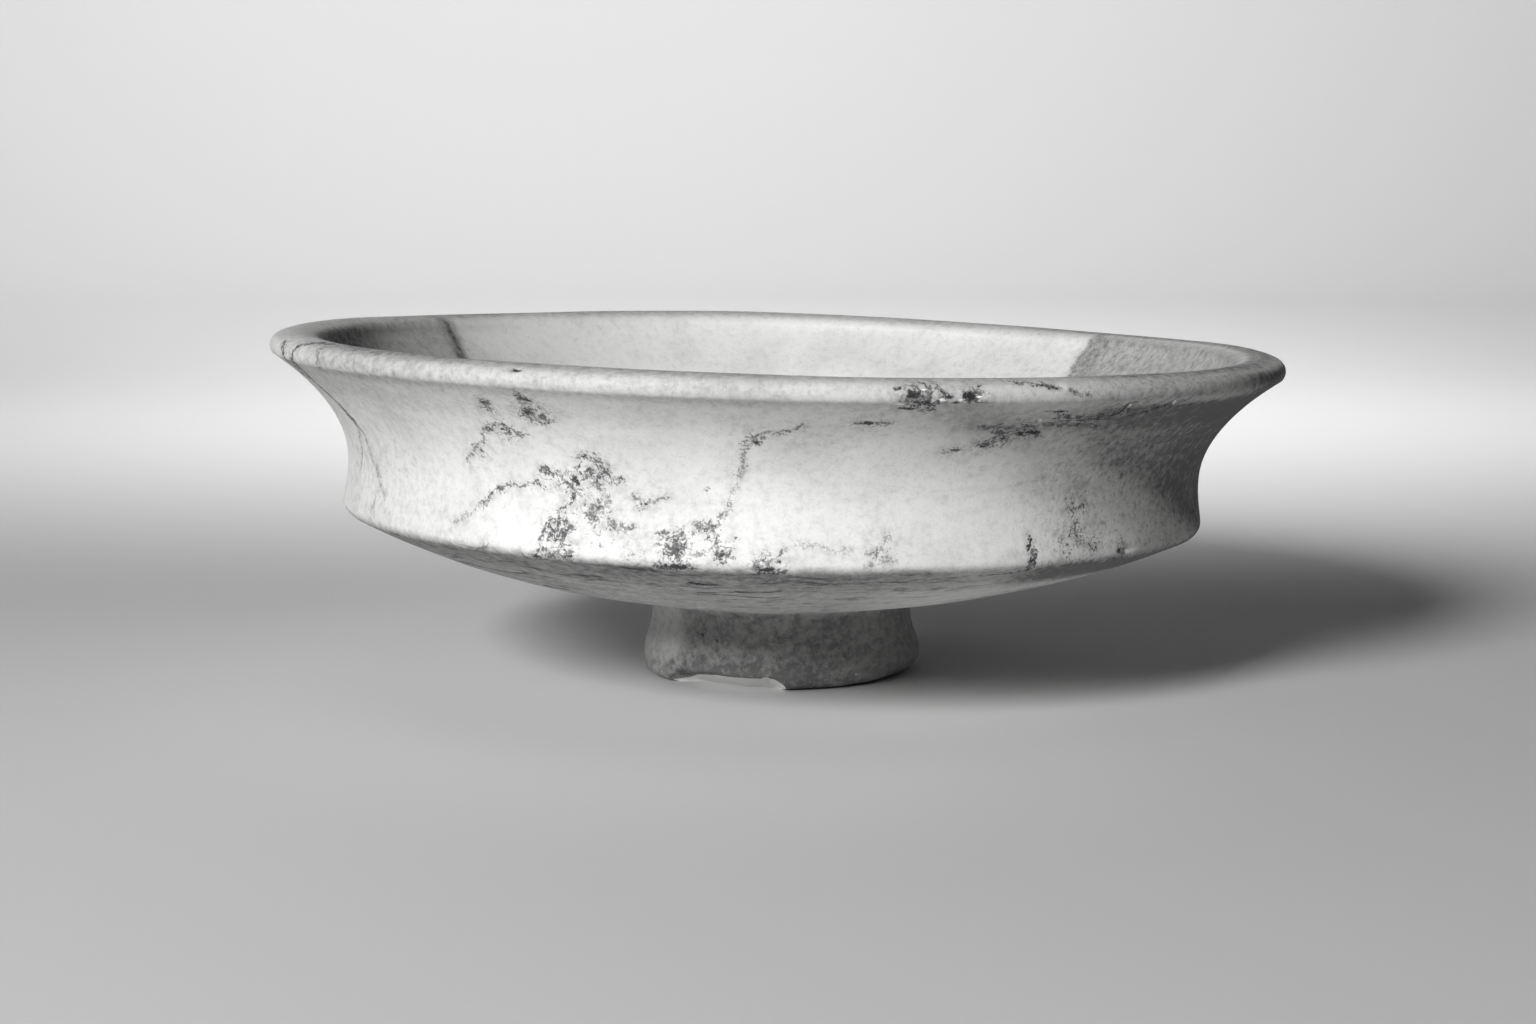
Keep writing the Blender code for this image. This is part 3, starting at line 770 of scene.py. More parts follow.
def section():
    """The section from the hollow's middle over the lip to the foot's middle, and the lip's crest row."""
    inner, crown, outer = lip_parts()
    inside = hollow(inner[0])
    wall = flared_wall(outer[-1])
    shoulder_centre = (SHOULDER_RADIUS - SHOULDER_ROUND, SHOULDER_TOP)
    shoulder = arc(shoulder_centre, SHOULDER_ROUND, 0, SHOULDER_END, SHOULDER_ROWS)
    start = shoulder[-1, 0]
    end = NECK_RADIUS + NECK_FILLET
    radius = start + (end - start) * np.linspace(0.0, 1.0, UNDERSIDE_ROWS + 1) ** UNDERSIDE_CROWDING
    underside = np.column_stack((radius, underside_height(radius)))
    lip = np.vstack((inner[1:], crown[1:], outer[1:]))
    profile = np.vstack((inside, lip, wall[1:], shoulder[1:], underside[1:], foot()[1:]))
    crest = len(inside) + INNER_LIP_ROWS + int(np.argmax(crown[1:, 1]))
    return profile, crest


def held(value):
    """Numbers kept between 0 and 1."""
    return np.clip(value, 0.0, 1.0)


def smooth(value):
    """A rise from 0 to 1 with level ends: three times the square less twice the cube."""
    part = held(value)
    return part * part * (3 - 2 * part)


def ramp(value, start, end):
    """A smooth rise from 0 where the value is start to 1 where it is end."""
    return smooth((value - start) / (end - start))


def apart(turn, other):
    """The angle between two turns, in degrees."""
    return np.abs((turn - other + 180.0) % 360.0 - 180.0)


def bowl_share(height):
    """How far a height belongs to the leaning bowl: 0 on the foot, 1 from the shoulder up."""
    foot_top = NECK_HEIGHT - NECK_FILLET
    return held((height - foot_top) / (SHOULDER_HEIGHT - foot_top))


def sideways(height):
    """How far the rings are off the foot's axis at a height."""
    rise = held((height - SHOULDER_HEIGHT) / (RIM_HEIGHT - SHOULDER_HEIGHT))
    return bowl_share(height) * SHOULDER_OFFSET + rise * (RIM_OFFSET - SHOULDER_OFFSET)


def worn_reach(turn, height):
    """The most that the foot reaches on its lower edge, a quarter circle that is larger where it is worn."""
    worn = smooth(1 - apart(turn, WORN_TURN) / WORN_SPREAD)
    edge = FOOT_EDGE_ROUND + (WORN_EDGE_ROUND - FOOT_EDGE_ROUND) * worn
    drop = np.maximum(edge - height, 0.0)
    return FOOT_RADIUS - edge + np.sqrt(np.maximum(edge * edge - drop * drop, 0.0))


def spall_reach(turn, height):
    """The most that the foot reaches on the broken edge: a flat, rippled slope, which fades at its ends."""
    ripple = sum(depth * np.sin(np.radians(turn * waves + start)) for depth, waves, start in SPALL_RIPPLES)
    share = smooth((SPALL_HALF_SPREAD + SPALL_FADE - apart(turn, SPALL_TURN)) / (2 * SPALL_FADE))
    return FOOT_RADIUS - (SPALL_DEPTH + ripple) * share + height / math.tan(SPALL_SLOPE)


class Surface:
    """The dish as a grid: rows along the section by places round it, with each place's turn and run.

    The run is the way along the section from the lip's crest, in millimetres, and grows down the outside.
    """

    def __init__(self):
        profile, crest = section()
        step = np.hypot(*np.diff(profile, axis=0).T)
        run = np.concatenate(([0.0], np.cumsum(step)))
        self.profile = profile
        self.profile_run = run - run[crest]
        self.crest = crest
        around = np.linspace(-np.pi, np.pi, TURN_COUNT, endpoint=False)
        around = around - FRONT_CLOSER * np.sin(around)
        rings = profile[1:-1]
        self.turn = np.degrees(around)[None, :].repeat(len(rings), axis=0)
        self.radius = rings[:, :1].repeat(TURN_COUNT, axis=1)
        self.height = rings[:, 1:].repeat(TURN_COUNT, axis=1)
        self.run = self.profile_run[1:-1, None].repeat(TURN_COUNT, axis=1)
        self.flat = self.height < 1e-6

    def run_at(self, height):
        """The run at a height on the outside, read off the profile."""
        outside = self.profile[self.crest:-1]
        return np.interp(-np.asarray(height, float), -outside[:, 1], self.profile_run[self.crest:-1])

    def on_outside(self, places):
        """Places on the outside, given as (turn, height, ...), with the run in the height's stead."""
        return [(place[0], float(self.run_at(place[1])), *place[2:]) for place in places]


def placed(surface, radius, height):
    """Grid points in millimetres: rings turned by the turn, with the damage, the lean and the offset."""
    limit = np.minimum(worn_reach(surface.turn, height), spall_reach(surface.turn, height))
    radius = np.where(height < WORN_EDGE_ROUND, np.minimum(radius, limit), radius)
    radius = np.where(surface.flat, surface.radius * limit / FLAT_RADIUS, radius)
    angle = np.radians(surface.turn)
    x = radius * np.sin(angle)
    y = -radius * np.cos(angle)
    z = height - x * math.tan(BOWL_LEAN) * bowl_share(height)
    return np.stack((x + sideways(height), y, z), axis=-1)


def outward(points):
    """Unit normals of the grid: the cross product of its steps along the section and round the turn."""
    along = np.gradient(points, axis=0)
    wrapped = np.concatenate((points[:, -1:], points, points[:, :1]), axis=1)
    around = (wrapped[:, 2:] - wrapped[:, :-2]) / 2
    normal = np.cross(along, around)
    return normal / np.maximum(np.linalg.norm(normal, axis=-1, keepdims=True), 1e-9)


def dent(surface, turn, height, breadth, length, depth, power):
    """A dent's depth: its deepest, times one less the squared distance in its own half sizes, to a power."""
    across = np.radians((surface.turn - turn + 180.0) % 360.0 - 180.0) * surface.radius / breadth
    down = (surface.run - surface.run_at(height)) / length
    return depth * held(1 - across ** 2 - down ** 2) ** power


def carved(surface):
    """How far the surface lies under the turned one: long hand-made waves, chips and pits."""
    turn = np.radians(surface.turn)
    waves = sum(half * (1 + np.sin(count * turn + surface.run / length + start))
                for half, count, length, start in HAND_WAVES)
    depth = np.where(surface.flat | (surface.radius < FLOOR_MIDDLE), 0.0, waves)
    for turn, height, breadth, length, deepest, power in DENTS:
        depth = depth + dent(surface, turn, height, breadth, length, deepest, power)
    return depth


def rim_drop(surface):
    """How far the back of the rim sags between its middle and its sides: a wave of four to the turn."""
    back = ramp(apart(surface.turn, 0.0), *SAGGING_TURNS)
    high = ramp(surface.height, *SAGGING_HEIGHTS)
    return RIM_SAG * (1 - np.cos(4 * np.radians(surface.turn))) * back * high


def along_path(surface, path, cutoff):
    """Where a path is near, the signed distance to its nearest segment, and the share of the way along it."""
    turns = np.array([turn for turn, run in path])
    runs = np.array([run for turn, run in path])
    scale = np.radians(surface.radius)
    reach = cutoff / np.radians(np.interp(runs, surface.profile_run, surface.profile[:, 0])).min()
    near = (surface.turn > turns.min() - reach) & (surface.turn < turns.max() + reach)
    near = near & (surface.run > runs.min() - cutoff) & (surface.run < runs.max() + cutoff)
    turn, run, scale = surface.turn[near], surface.run[near], scale[near]
    best = np.full(turn.shape, np.inf)
    signed = np.full(turn.shape, np.inf)
    share = np.zeros(turn.shape)
    count = len(path) - 1
    for index in range(count):
        step_x = (turns[index + 1] - turns[index]) * scale
        step_y = runs[index + 1] - runs[index]
        x = (turn - turns[index]) * scale
        y = run - runs[index]
        part = held((x * step_x + y * step_y) / (step_x ** 2 + step_y ** 2))
        distance = np.hypot(x - part * step_x, y - part * step_y)
        side = np.where(x * step_y - y * step_x >= 0, 1.0, -1.0)
        closer = distance < best
        best = np.where(closer, distance, best)
        signed = np.where(closer, side * distance, signed)
        share = np.where(closer, (index + part) / count, share)
    return near, signed, share


def vein_layers(surface):
    """Two layers of signed distance, breadth and darkness, and the bloom. A vein is in the roomier one."""
    layers = []
    for _ in range(2):
        layer = np.zeros(surface.turn.shape + (3,))
        layer[..., 0] = VEIN_CUTOFF
        layers.append((layer, np.full(surface.turn.shape, np.inf)))
    outside = [(breadth, darkness, surface.on_outside(path)) for breadth, darkness, path in VEINS]
    for breadth, darkness, path in outside + list(HOLLOW_VEINS):
        near, signed, share = along_path(surface, path, VEIN_CUTOFF)
        distance = np.abs(signed)
        taper = held(np.minimum(share, 1 - share) * 2 * len(path)) ** 0.5
        close = held((VEIN_NEAR + VEIN_FADE - distance) / VEIN_FADE)
        taken = [(nearest[near][distance < VEIN_NEAR] < VEIN_NEAR).sum() for layer, nearest in layers]
        layer, nearest = layers[int(np.argmin(taken))]
        closer = distance < nearest[near]
        values = np.stack((signed, breadth * taper * close, np.full(distance.shape, darkness)), axis=-1)
        layer[near] = np.where(closer[:, None], values, layer[near])
        nearest[near] = np.minimum(nearest[near], distance)
    nearest = np.minimum(layers[0][1], layers[1][1])
    return layers[0][0], layers[1][0], smooth(1 - nearest / VEIN_BLOOM)


def beyond_joint(surface, path, side):
    """How far a place lies past an old joint: its turn less the joint's at its run, times its radius."""
    turns = [side * turn for turn, run in path]
    depths = [-run for turn, run in path]
    return np.radians(side * surface.turn - np.interp(-surface.run, depths, turns)) * surface.radius


def measured(surface):
    """What the ramps measure: turn, height, radius, run, the way across, the height over a slanting line."""
    return {
        "turn": surface.turn,
        "height": surface.height,
        "radius": surface.radius,
        "run": surface.run,
        "way across": surface.radius * np.sin(np.radians(surface.turn)),
        "line of the stain and shadow": surface.height + STAIN_AND_SHADOW_SLANT * surface.turn,
    }


def ramped(ramps, measures):
    """The product of ramps, each a smooth rise of one measure from 0 to 1."""
    share = 1.0
    for measure, start, end in ramps:
        share = share * ramp(measures[measure], start, end)
    return share


def spots(surface, places):
    """The greatest of bell-shaped spots: strength times e to the power of less the squared distance."""
    found = np.zeros(surface.turn.shape)
    for turn, run, across, down, strength in places:
        x = np.radians((surface.turn - turn + 180.0) % 360.0 - 180.0) * surface.radius / across
        y = (surface.run - run) / down
        found = np.maximum(found, strength * np.exp(-x * x - y * y))
    return found


def marks(surface, bloom):
    """Masks: dark patches, fine networks, the veins' bloom, and broken or bruised white stone, partly painted
    light and highlights.
    """
    patches = spots(surface, surface.on_outside(DARK_PATCHES))
    networks = [(turn, height, reach, reach, density) for turn, height, reach, density in NETWORKS]
    hollow_networks = [(turn, run, reach, reach, density) for turn, run, reach, density in HOLLOW_NETWORKS]
    density = spots(surface, surface.on_outside(networks) + hollow_networks)
    turn, height = surface.turn, surface.height
    # The spall's fresh white, which also stands for painted light on its face
    broken = np.minimum(worn_reach(turn, height), surface.radius) - spall_reach(turn, height)
    fresh_lit_top = FRESH_AND_LIT_HEIGHT * ramped(FRESH_AND_LIT_ENDS, measured(surface))
    fresh_lit_white = smooth(broken / FRESH_AND_LIT_DEPTH) * smooth((fresh_lit_top + FRESH_AND_LIT_EDGE - height) / FRESH_AND_LIT_EDGE)
    fresh_and_lit = np.where((height < WORN_EDGE_ROUND) & (surface.radius > FOOT_RADIUS / 2), fresh_lit_white, 0.0)
    fresh_and_lit = np.maximum(fresh_and_lit, spots(surface, surface.on_outside(WHITE_FLECKS_AND_HIGHLIGHTS)))
    return np.stack((patches, np.maximum(density, BLOOM_SHARE * bloom), fresh_and_lit), axis=-1)


def bell(value, breadth):
    """A bell curve: e to the power of less the square of the value over the half breadth."""
    return np.exp(-(value / breadth) ** 2)


def regions_of(surface, measures):
    """Each region's share of the surface: products of ramps and bell curves, less what takes its place."""
    outside = surface.run >= 0.0
    left_end = ramped(LEFT_END, measures)
    reach = CREST_FADE + LEFT_REACH * left_end
    over_crest = smooth((surface.run + reach) / (CREST_FADE + LEFT_FADE * left_end))
    foot = ramped(ON_FOOT, measures) * outside
    underside = ramped(ON_UNDERSIDE, measures) * outside * (1 - foot)
    lip = ramped(ON_LIP, measures) * over_crest
    clear_lip = lip * np.maximum(ramped(LIP_FRONT, measures), ramped(LIP_TOP, measures))
    bowl = over_crest * (1 - foot) * (1 - UNDERSIDE_COVER * underside)
    inside = ramped(IN_HOLLOW, measures)
    crest = ramp(np.abs(surface.run - CREST_MIDDLE), *CREST_SPREAD) * (1 - HOLLOW_COVER * inside)

    past_left = beyond_joint(surface, LEFT_JOINT, -1.0)
    past_right = beyond_joint(surface, RIGHT_JOINT, 1.0)
    wandering = past_left + JOINT_WANDER * np.sin(surface.run / JOINT_WAVE)
    past = np.maximum(past_left, past_right / JOINT_RIGHT_SOFTNESS)
    pale = smooth(0.5 + np.minimum(past, surface.run - JOINT_MEETING))
    # The dark stain on the right, partly the lip's painted shadow, and the painted shade along the slanting
    # line
    clear_of_stain_and_shadow = 1 - STAIN_AND_SHADOW_COVER * ramped(STAINED_AND_SHADOWED, measures)
    shade = bell(surface.height + SHADE_SLANT * surface.turn - SHADE_HEIGHT, SHADE_BREADTH)
    return {
        "everywhere": np.ones(surface.turn.shape),
        "outside": outside,
        "outside but the foot, the stain and the shadow": outside * (1 - foot) * clear_of_stain_and_shadow,
        "foot": foot,
        "underside": underside,
        "lip": lip,
        "slanting shade": shade * outside,
        "bowl under the lip": bowl * (1 - LIP_COVER * lip),
        "bowl but its clear lip": bowl * (1 - clear_lip),
        "bowl but its left lip": bowl * (1 - lip * left_end),
        "crest": crest,
        "outer crest": crest * outside,
        "hollow": inside * (1 - pale),
        "left joint": inside * bell(wandering, JOINT_BREADTH),
        "right joint": inside * bell(past_right + JOINT_RIGHT_SHIFT, JOINT_RIGHT_BREADTH),
        "pale piece": inside * pale,
    }


def weathering_and_painted_shade(surface):
    """Three masks, greyness with its painted shade, beds and streaks: the sums of strength times region times
    ramps.
    """
    measures = measured(surface)
    regions = regions_of(surface, measures)
    masks = [sum(strength * regions[region] * ramped(ramps, measures) for region, strength, ramps in parts)
             for parts in (GREYNESS, BEDS, STREAKS)]
    return np.stack(masks, axis=-1)


def ring_faces(rows, columns):
    """A grid of closed rings: its points, the next point round each ring, and the squares between rings."""
    index = np.arange(rows * columns).reshape(rows, columns)
    beside = np.roll(index, -1, axis=1)
    squares = np.stack((index[:-1], index[1:], beside[1:], beside[:-1]), axis=-1).reshape(-1, 4)
    return index, beside, squares


def stone_mesh(surface):
    """The closed mesh: the grid's squares, and a fan to one point at either end of the section."""
    level = placed(surface, surface.radius, surface.height - rim_drop(surface))
    points = level - outward(level) * carved(surface)[..., None]
    rows, columns = surface.turn.shape
    first = surface.profile[0]
    ends = np.array(((sideways(first[1]), 0.0, first[1]), (0.0, 0.0, 0.0)))
    vertices = np.vstack((points.reshape(-1, 3), ends)) / METRE
    index, beside, squares = ring_faces(rows, columns)
    middle, base = rows * columns, rows * columns + 1
    top_fan = np.stack((np.full(columns, middle), index[0], beside[0]), axis=-1)
    base_fan = np.stack((index[-1], np.full(columns, base), beside[-1]), axis=-1)
    mesh = bpy.data.meshes.new("stone_dish")
    mesh.from_pydata(vertices.tolist(), [], squares.tolist() + top_fan.tolist() + base_fan.tolist())
    mesh.shade_smooth()
    return mesh


def put_vectors(mesh, name, values):
    """A vector for every point of the mesh; an end point gets that of its nearest ring's first place."""
    whole = np.vstack((values.reshape(-1, 3), values[0, :1], values[-1, :1]))
    attribute = mesh.attributes.new(name, "FLOAT_VECTOR", "POINT")
    attribute.data.foreach_set("vector", whole.ravel().astype(np.float32))


class Nodes:
    """A material's nodes, each made with its settings and with its inputs set or joined."""

    def __init__(self, material):
        material.use_nodes = True
        self.tree = material.node_tree
        self.shader = self.tree.nodes["Principled BSDF"]
        self.place = self.scaled(self.make("ShaderNodeTexCoord").outputs["Object"], METRE)

    def make(self, kind, inputs=None, **settings):
        """A new node of a kind."""
        node = self.tree.nodes.new(kind)
        for name, value in settings.items():
            setattr(node, name, value)
        for name, value in (inputs or {}).items():
            self.join(value, node.inputs[name])
        return node

    def join(self, value, socket):
        """Set a socket, or join another node's output to it."""
        if isinstance(value, bpy.types.NodeSocket):
            self.tree.links.new(value, socket)
        else:
            socket.default_value = value

    def maths(self, operation, first, second=0.0, third=0.0, clamp=False):
        """The result of one operation on two or three numbers."""
        inputs = {0: first, 1: second, 2: third}
        return self.make("ShaderNodeMath", inputs, operation=operation, use_clamp=clamp).outputs[0]

    def scaled(self, vector, scale):
        """A vector times a number."""
        inputs = {0: vector, "Scale": scale}
        return self.make("ShaderNodeVectorMath", inputs, operation="SCALE").outputs[0]

    def added(self, first, second):
        """The sum of two vectors."""
        return self.make("ShaderNodeVectorMath", {0: first, 1: second}, operation="ADD").outputs[0]

    def stretched(self, vector, stretch, turn=(0.0, 0.0, 0.0)):
        """A vector turned and then scaled along each axis."""
        inputs = {"Vector": vector, "Rotation": turn, "Scale": stretch}
        return self.make("ShaderNodeMapping", inputs).outputs[0]

    def step(self, value, low, high, start=0.0, end=1.0):
        """A smooth change from start to end as the value goes from low to high."""
        inputs = {"Value": value, "From Min": low, "From Max": high, "To Min": start, "To Max": end}
        return self.make("ShaderNodeMapRange", inputs, interpolation_type="SMOOTHSTEP").outputs[0]

    def noise(self, vector, size, detail=3.0, roughness=0.5):
        """Cloudy noise with features of a size in millimetres."""
        inputs = {"Vector": vector, "Scale": 1.0 / size, "Detail": detail, "Roughness": roughness}
        return self.make("ShaderNodeTexNoise", inputs)

    def warped(self, vector, size, amount, detail=2.0):
        """A vector moved by noise, by up to half the amount each way."""
        shift = self.added(self.noise(vector, size, detail).outputs["Color"], (-0.5, -0.5, -0.5))
        return self.added(vector, self.scaled(shift, amount))

    def mix(self, share, first, second):
        """A colour between two others."""
        return self.make("ShaderNodeMix", {0: share, 6: first, 7: second}, data_type="RGBA").outputs[2]

    def held(self, value):
        """A number kept between 0 and 1."""
        return self.maths("ADD", value, 0.0, clamp=True)

    def rings(self, vector):
        """A vector of the distance from the axis, the height and a slow way round, for marks in rings."""
        split = self.make("ShaderNodeSeparateXYZ", {0: vector}).outputs
        flat = self.make("ShaderNodeCombineXYZ", {"X": split[0], "Y": split[1]}).outputs[0]
        radius = self.make("ShaderNodeVectorMath", {0: flat}, operation="LENGTH").outputs[1]
        turn = self.maths("ARCTAN2", split[0], self.maths("MULTIPLY", split[1], -1.0))
        around = self.maths("MULTIPLY", turn, STREAK_SPREAD)
        return self.make("ShaderNodeCombineXYZ", {"X": radius, "Y": split[2], "Z": around}).outputs[0]

    def attribute(self, name):
        """The three numbers of a vector attribute."""
        vector = self.make("ShaderNodeAttribute", attribute_name=name).outputs["Vector"]
        split = self.make("ShaderNodeSeparateXYZ", {0: vector})
        return split.outputs[0], split.outputs[1], split.outputs[2]


def centred(nodes, vector, size, amount, detail=3.0, roughness=0.6):
    """Noise round zero that reaches about a quarter of the amount either way."""
    noise = nodes.noise(vector, size, detail, roughness).outputs[0]
    return nodes.maths("MULTIPLY", nodes.maths("SUBTRACT", noise, 0.5), amount)


def vein_mask(nodes, name, wobble, lumps, crumbs):
    """How dark a layer of veins is: a ridge along the wandering line, swollen in places and crumbled."""
    signed, breadth, darkness = nodes.attribute(name)
    distance = nodes.maths("ABSOLUTE", nodes.maths("ADD", signed, wobble))
    reach = nodes.maths("MULTIPLY", nodes.maths("MULTIPLY_ADD", breadth, VEIN_REACH, VEIN_LEAST_REACH), lumps)
    ridge = nodes.maths("SUBTRACT", 1.0, nodes.maths("DIVIDE", distance, reach))
    shown = nodes.step(nodes.maths("ADD", ridge, crumbs), *VEIN_EDGE)
    present = nodes.step(breadth, *VEIN_SHOWN)
    return nodes.maths("MULTIPLY", nodes.maths("MULTIPLY", shown, present), darkness)


def branch_mask(nodes, place, density, crumbs):
    """Fine branches: the contour lines of two bent noises, as broad and as many as the density says."""
    bent = nodes.warped(place, size=1.1, amount=1.6, detail=3.0)
    ridges = []
    for shift, size in BRANCH_NOISES:
        field = centred(nodes, nodes.added(bent, shift), size, amount=1.0, detail=2.0, roughness=0.5)
        fall = nodes.maths("MULTIPLY", nodes.maths("ABSOLUTE", field), BRANCH_SHARPNESS)
        ridges.append(nodes.maths("SUBTRACT", 1.0, fall))
    ridge = nodes.maths("MAXIMUM", ridges[0], ridges[1])
    spread = nodes.maths("MULTIPLY_ADD", density, BRANCH_SPREAD, BRANCH_START)
    shown = nodes.step(nodes.maths("ADD", nodes.maths("ADD", ridge, spread), crumbs), *BRANCH_EDGE)
    return nodes.maths("MULTIPLY", shown, nodes.step(density, *BRANCH_SHOWN))


def dark_marks(nodes, flecks, patches, density):
    """How dark the veins, branches and patches are, and the noise that tears the patches' edges."""
    place = nodes.place
    bends = centred(nodes, place, size=1.9, amount=3.4)
    wobble = nodes.maths("ADD", bends, centred(nodes, place, size=0.6, amount=1.4))
    swelling = nodes.noise(nodes.added(place, LUMP_SHIFT), size=1.7, detail=3.0, roughness=0.6).outputs[0]
    lumps = nodes.step(swelling, 0.32, 0.68, start=0.40, end=1.75)
    fine_place = nodes.added(place, CRUMB_SHIFT)
    crumbs = centred(nodes, fine_place, size=0.42, amount=3.4, detail=3.0, roughness=0.62)
    first = vein_mask(nodes, "veins", wobble, lumps, crumbs)
    second = vein_mask(nodes, "side_veins", wobble, lumps, crumbs)
    branches = nodes.maths("MULTIPLY", branch_mask(nodes, place, density, crumbs), BRANCH_SHARE)
    lines = nodes.maths("MAXIMUM", nodes.maths("MAXIMUM", first, second), branches)
    lines = nodes.maths("MULTIPLY", lines, nodes.step(flecks, 0.32, 0.56, start=0.55))
    rough_edge = centred(nodes, place, size=1.3, amount=1.8, detail=4.0)
    tear = nodes.maths("MULTIPLY_ADD", crumbs, CRUMBLED_EDGE, rough_edge)
    torn = nodes.step(nodes.maths("ADD", patches, tear), 0.32, 0.80)
    patch = nodes.maths("MULTIPLY", torn, nodes.step(patches, 0.08, 0.40))
    return nodes.maths("MAXIMUM", lines, patch), tear


def stone_ground(nodes, grain, flecks, clouds, density):
    """The stone's colour without marks: clouds, slanting beds, flecks, bloom, greyed by weathering and
    painted shade.

    It comes with the greyness, which the polish follows.
    """
    place = nodes.place
    greyness, banding, streaking = nodes.attribute("weathering_and_painted_shade")
    bedding = nodes.stretched(place, BEDDING_STRETCH, BEDDING_TURN)
    bent_beds = nodes.warped(bedding, size=2.0, amount=1.2)
    bands = nodes.noise(bent_beds, size=2.6, detail=5.0, roughness=0.68).outputs[0]
    speckle = nodes.step(nodes.noise(place, size=0.9, detail=4.0, roughness=0.72).outputs[0], 0.50, 0.66)
    cloudy = nodes.maths("MULTIPLY", nodes.step(clouds, 0.40, 0.72), CLOUD_SHARE)
    bed_share = nodes.maths("MULTIPLY_ADD", banding, BED_SHARE, LEAST_BED_SHARE)
    bedded = nodes.maths("MULTIPLY", nodes.step(bands, 0.50, 0.78), bed_share)
    flecked = nodes.maths("MULTIPLY", nodes.step(flecks, 0.46, 0.76), FLECK_SHARE)
    bloom = nodes.maths("MULTIPLY", density, nodes.step(flecks, 0.34, 0.64, start=0.05, end=0.70))
    greyed = nodes.maths("ADD", nodes.maths("ADD", cloudy, bedded), nodes.maths("ADD", flecked, bloom))
    greyed = nodes.maths("MULTIPLY_ADD", nodes.maths("MULTIPLY", speckle, banding), SPECKLE_SHARE, greyed)
    greyed = nodes.maths("ADD", greyed, nodes.step(grain, 0.40, 0.70, end=GRAIN_SHARE))
    ground = nodes.mix(nodes.held(greyed), STONE_LIGHT, STONE_CLOUD)

    # The greyness, weathering and painted shade, mottled by the speckle
    off_middle = nodes.maths("SUBTRACT", speckle, SPECKLE_MIDDLE)
    mottled = nodes.maths("MULTIPLY_ADD", off_middle, banding, 1.0)
    uneven = nodes.maths("MULTIPLY", greyness, mottled)
    uneven = nodes.maths("MULTIPLY", uneven, nodes.step(flecks, 0.25, 0.75, start=0.72, end=1.25))
    ground = nodes.mix(nodes.held(uneven), ground, STONE_WEATHERED_AND_SHADED)

    # Concentric dark streaks under the bowl
    rings = nodes.rings(nodes.warped(place, size=12.0, amount=9.0))
    streaks = nodes.noise(rings, size=1.9, detail=5.0, roughness=0.68).outputs[0]
    broken = nodes.maths("MULTIPLY", streaking, nodes.step(clouds, 0.38, 0.62, start=0.45, end=1.25))
    streaked = nodes.maths("MULTIPLY", nodes.step(streaks, 0.51, 0.66), broken)
    return nodes.mix(nodes.held(streaked), ground, STREAK_COLOUR), greyness


def stone_material():
    """White stone: clouded ground, dark branching veins, grey weathering and painted shade, fresh breaks with
    painted light, an uneven polish.
    """
    material = bpy.data.materials.new("white_veined_stone")
    nodes = Nodes(material)
    place = nodes.place
    grain = nodes.noise(place, size=0.45, detail=3.0, roughness=0.65).outputs[0]
    flecks = nodes.noise(place, size=1.5, detail=4.0, roughness=0.7).outputs[0]
    drifting = nodes.warped(place, size=9.0, amount=8.0)
    clouds = nodes.noise(drifting, size=15.0, detail=5.0, roughness=0.58).outputs[0]
    patches, density, fresh_and_lit = nodes.attribute("marks")
    dark, tear = dark_marks(nodes, flecks, patches, density)
    ground, greyness = stone_ground(nodes, grain, flecks, clouds, density)
    veined = nodes.mix(nodes.maths("MULTIPLY", dark, VEIN_SHARE), ground, VEIN_COLOUR)
    # The fresh white, with painted light on the spall and painted highlights at chips
    whitened = nodes.step(nodes.maths("MULTIPLY_ADD", tear, TORN_FRESH_AND_LIT_EDGE, fresh_and_lit), 0.35, 0.70)
    colour = nodes.mix(whitened, veined, STONE_FRESH_AND_LIT)

    grain_height = nodes.maths("MULTIPLY", grain, GRAIN_RELIEF)
    height = nodes.maths("ADD", grain_height, nodes.maths("MULTIPLY", flecks, FLECK_RELIEF))
    height = nodes.maths("SUBTRACT", height, nodes.maths("MULTIPLY", dark, MARK_RELIEF))
    relief = {"Height": height, "Strength": RELIEF_STRENGTH, "Distance": 1.0 / METRE}
    bump = nodes.make("ShaderNodeBump", relief)
    polish = nodes.step(flecks, 0.3, 0.8, start=0.46, end=0.62)
    roughness = nodes.maths("MULTIPLY_ADD", greyness, GREYED_ROUGHNESS, polish, clamp=True)

    shader = nodes.shader
    nodes.join(colour, shader.inputs["Base Color"])
    nodes.join(roughness, shader.inputs["Roughness"])
    nodes.join(bump.outputs[0], shader.inputs["Normal"])
    shader.inputs["IOR"].default_value = 1.5
    shader.inputs["Specular IOR Level"].default_value = 0.3
    shader.inputs["Subsurface Weight"].default_value = 0.3
    shader.inputs["Subsurface Radius"].default_value = (1.0, 1.0, 1.0)
    shader.inputs["Subsurface Scale"].default_value = 1.2 / METRE
    return material


def make_dish():
    """The dish: foot and bowl are one stone, with its fine surface in place of the plain solid."""
    surface = Surface()
    mesh = stone_mesh(surface)
    veins, side_veins, bloom = vein_layers(surface)
    put_vectors(mesh, "veins", veins)
    put_vectors(mesh, "side_veins", side_veins)
    put_vectors(mesh, "marks", marks(surface, bloom))
    # Greyness of weathering and painted shade, beds and streaks
    put_vectors(mesh, "weathering_and_painted_shade", weathering_and_painted_shade(surface))
    mesh.materials.append(stone_material())
    dish = bpy.data.objects.new("stone_dish", mesh)
    bpy.context.scene.collection.objects.link(dish)
    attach(dish, "root")
    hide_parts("dish")
    return dish


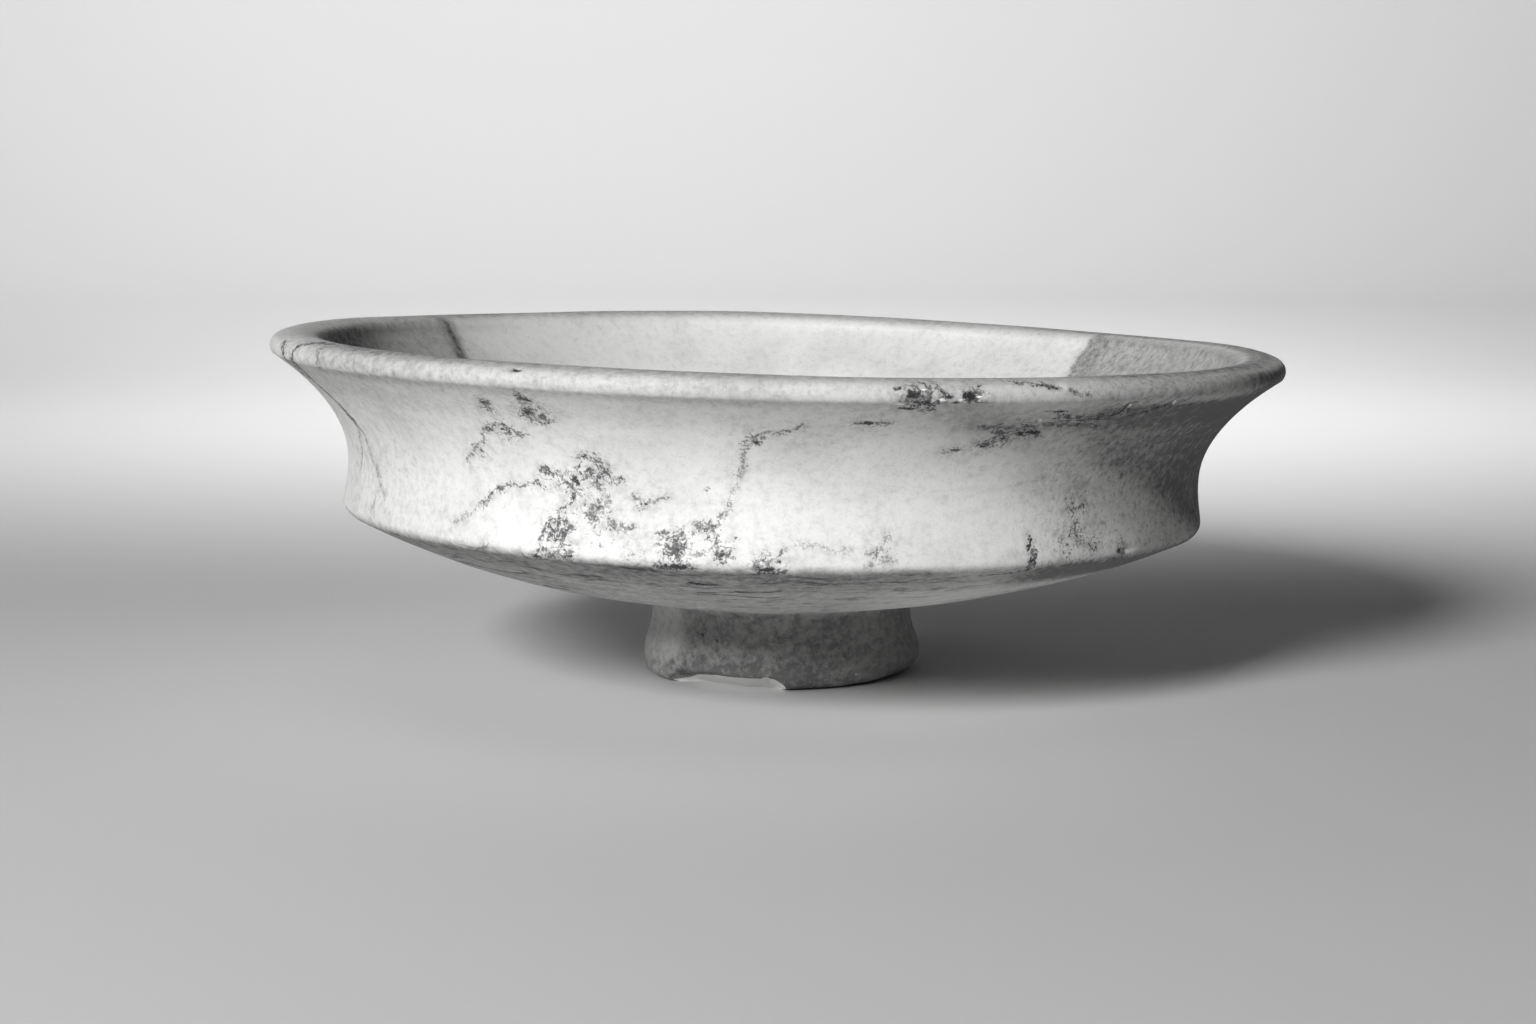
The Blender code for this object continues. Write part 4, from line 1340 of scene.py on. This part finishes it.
def plain_material(name, colour, roughness):
    """A flat, dull finish."""
    material = bpy.data.materials.new(name)
    material.use_nodes = True
    shader = material.node_tree.nodes["Principled BSDF"]
    shader.inputs["Base Color"].default_value = colour
    shader.inputs["Roughness"].default_value = roughness
    shader.inputs["Specular IOR Level"].default_value = 0.2
    return material


def make_floor():
    """The floor and its backdrop: a flat disc that curves up on a quarter circle into a round wall."""
    edge = FLOOR_RINGS[-1]
    flat = np.array([(radius, 0.0) for radius in FLOOR_RINGS])
    sweep = arc((edge, SWEEP_RADIUS), SWEEP_RADIUS, -90, 0, SWEEP_ROWS)
    rings = np.vstack((flat, sweep[1:], ((edge + SWEEP_RADIUS, BACKDROP_TOP),)))
    columns = FLOOR_COLUMNS
    turn = np.linspace(-np.pi, np.pi, columns, endpoint=False)
    x = rings[:, :1] * np.sin(turn)
    y = -rings[:, :1] * np.cos(turn)
    z = rings[:, 1:].repeat(columns, axis=1)
    vertices = np.vstack((np.stack((x, y, z), axis=-1).reshape(-1, 3), (0.0, 0.0, 0.0)))
    index, beside, squares = ring_faces(len(rings), columns)
    fan = np.stack((np.full(columns, len(vertices) - 1), index[0], beside[0]), axis=-1)
    mesh = bpy.data.meshes.new("pale_floor")
    mesh.from_pydata(vertices.tolist(), [], squares.tolist() + fan.tolist())
    mesh.shade_smooth()
    mesh.materials.append(plain_material("pale_floor_paint", FLOOR_COLOUR, 0.9))
    floor = bpy.data.objects.new("pale_floor", mesh)
    bpy.context.scene.collection.objects.link(floor)


def make_light(name, place, aim, size, power, spread):
    """A round soft light at a place, facing another, both in metres."""
    data = bpy.data.lights.new(name, "AREA")
    data.shape = "DISK"
    data.size = size
    data.spread = math.radians(spread)
    data.energy = power
    light = bpy.data.objects.new(name, data)
    bpy.context.scene.collection.objects.link(light)
    light.location = place
    light.rotation_euler = (Vector(place) - Vector(aim)).to_track_quat("Z", "Y").to_euler()


def make_lights():
    """A soft key from the front left, and lights that reach only the backdrop and the floor behind."""
    around, up = math.radians(KEY_TURN), math.radians(KEY_ELEVATION)
    towards = Vector((math.sin(around) * math.cos(up), -math.cos(around) * math.cos(up), math.sin(up)))
    make_light("key_light", tuple(towards * KEY_DISTANCE), KEY_AIM, KEY_SIZE, KEY_POWER, KEY_SPREAD)
    for light in FAR_LIGHTS:
        make_light(*light)
    world = bpy.data.worlds.new("surroundings")
    bpy.context.scene.world = world
    world.use_nodes = True
    background = world.node_tree.nodes["Background"]
    background.inputs["Color"].default_value = (1.0, 1.0, 1.0, 1.0)
    background.inputs["Strength"].default_value = SURROUNDINGS


def make_camera():
    """The photograph's camera: its place, direction, roll and lens."""
    data = bpy.data.cameras.new("camera")
    data.sensor_width = CAMERA_SENSOR
    data.lens = CAMERA_LENS
    data.clip_start = 0.01
    camera = bpy.data.objects.new("camera", data)
    bpy.context.scene.collection.objects.link(camera)
    level = math.cos(CAMERA_DOWN)
    forward = Vector((math.sin(CAMERA_TURN) * level, math.cos(CAMERA_TURN) * level, -math.sin(CAMERA_DOWN)))
    turned = forward.to_track_quat("-Z", "Y").to_matrix().to_4x4() @ Matrix.Rotation(-CAMERA_ROLL, 4, "Z")
    camera.matrix_world = Matrix.Translation(Vector(CAMERA_PLACE) / METRE) @ turned
    bpy.context.scene.camera = camera


make_camera()
make_dish()
make_floor()
make_lights()
bpy.context.scene.view_settings.view_transform = "Standard"
bpy.context.scene.view_settings.look = "Medium High Contrast"
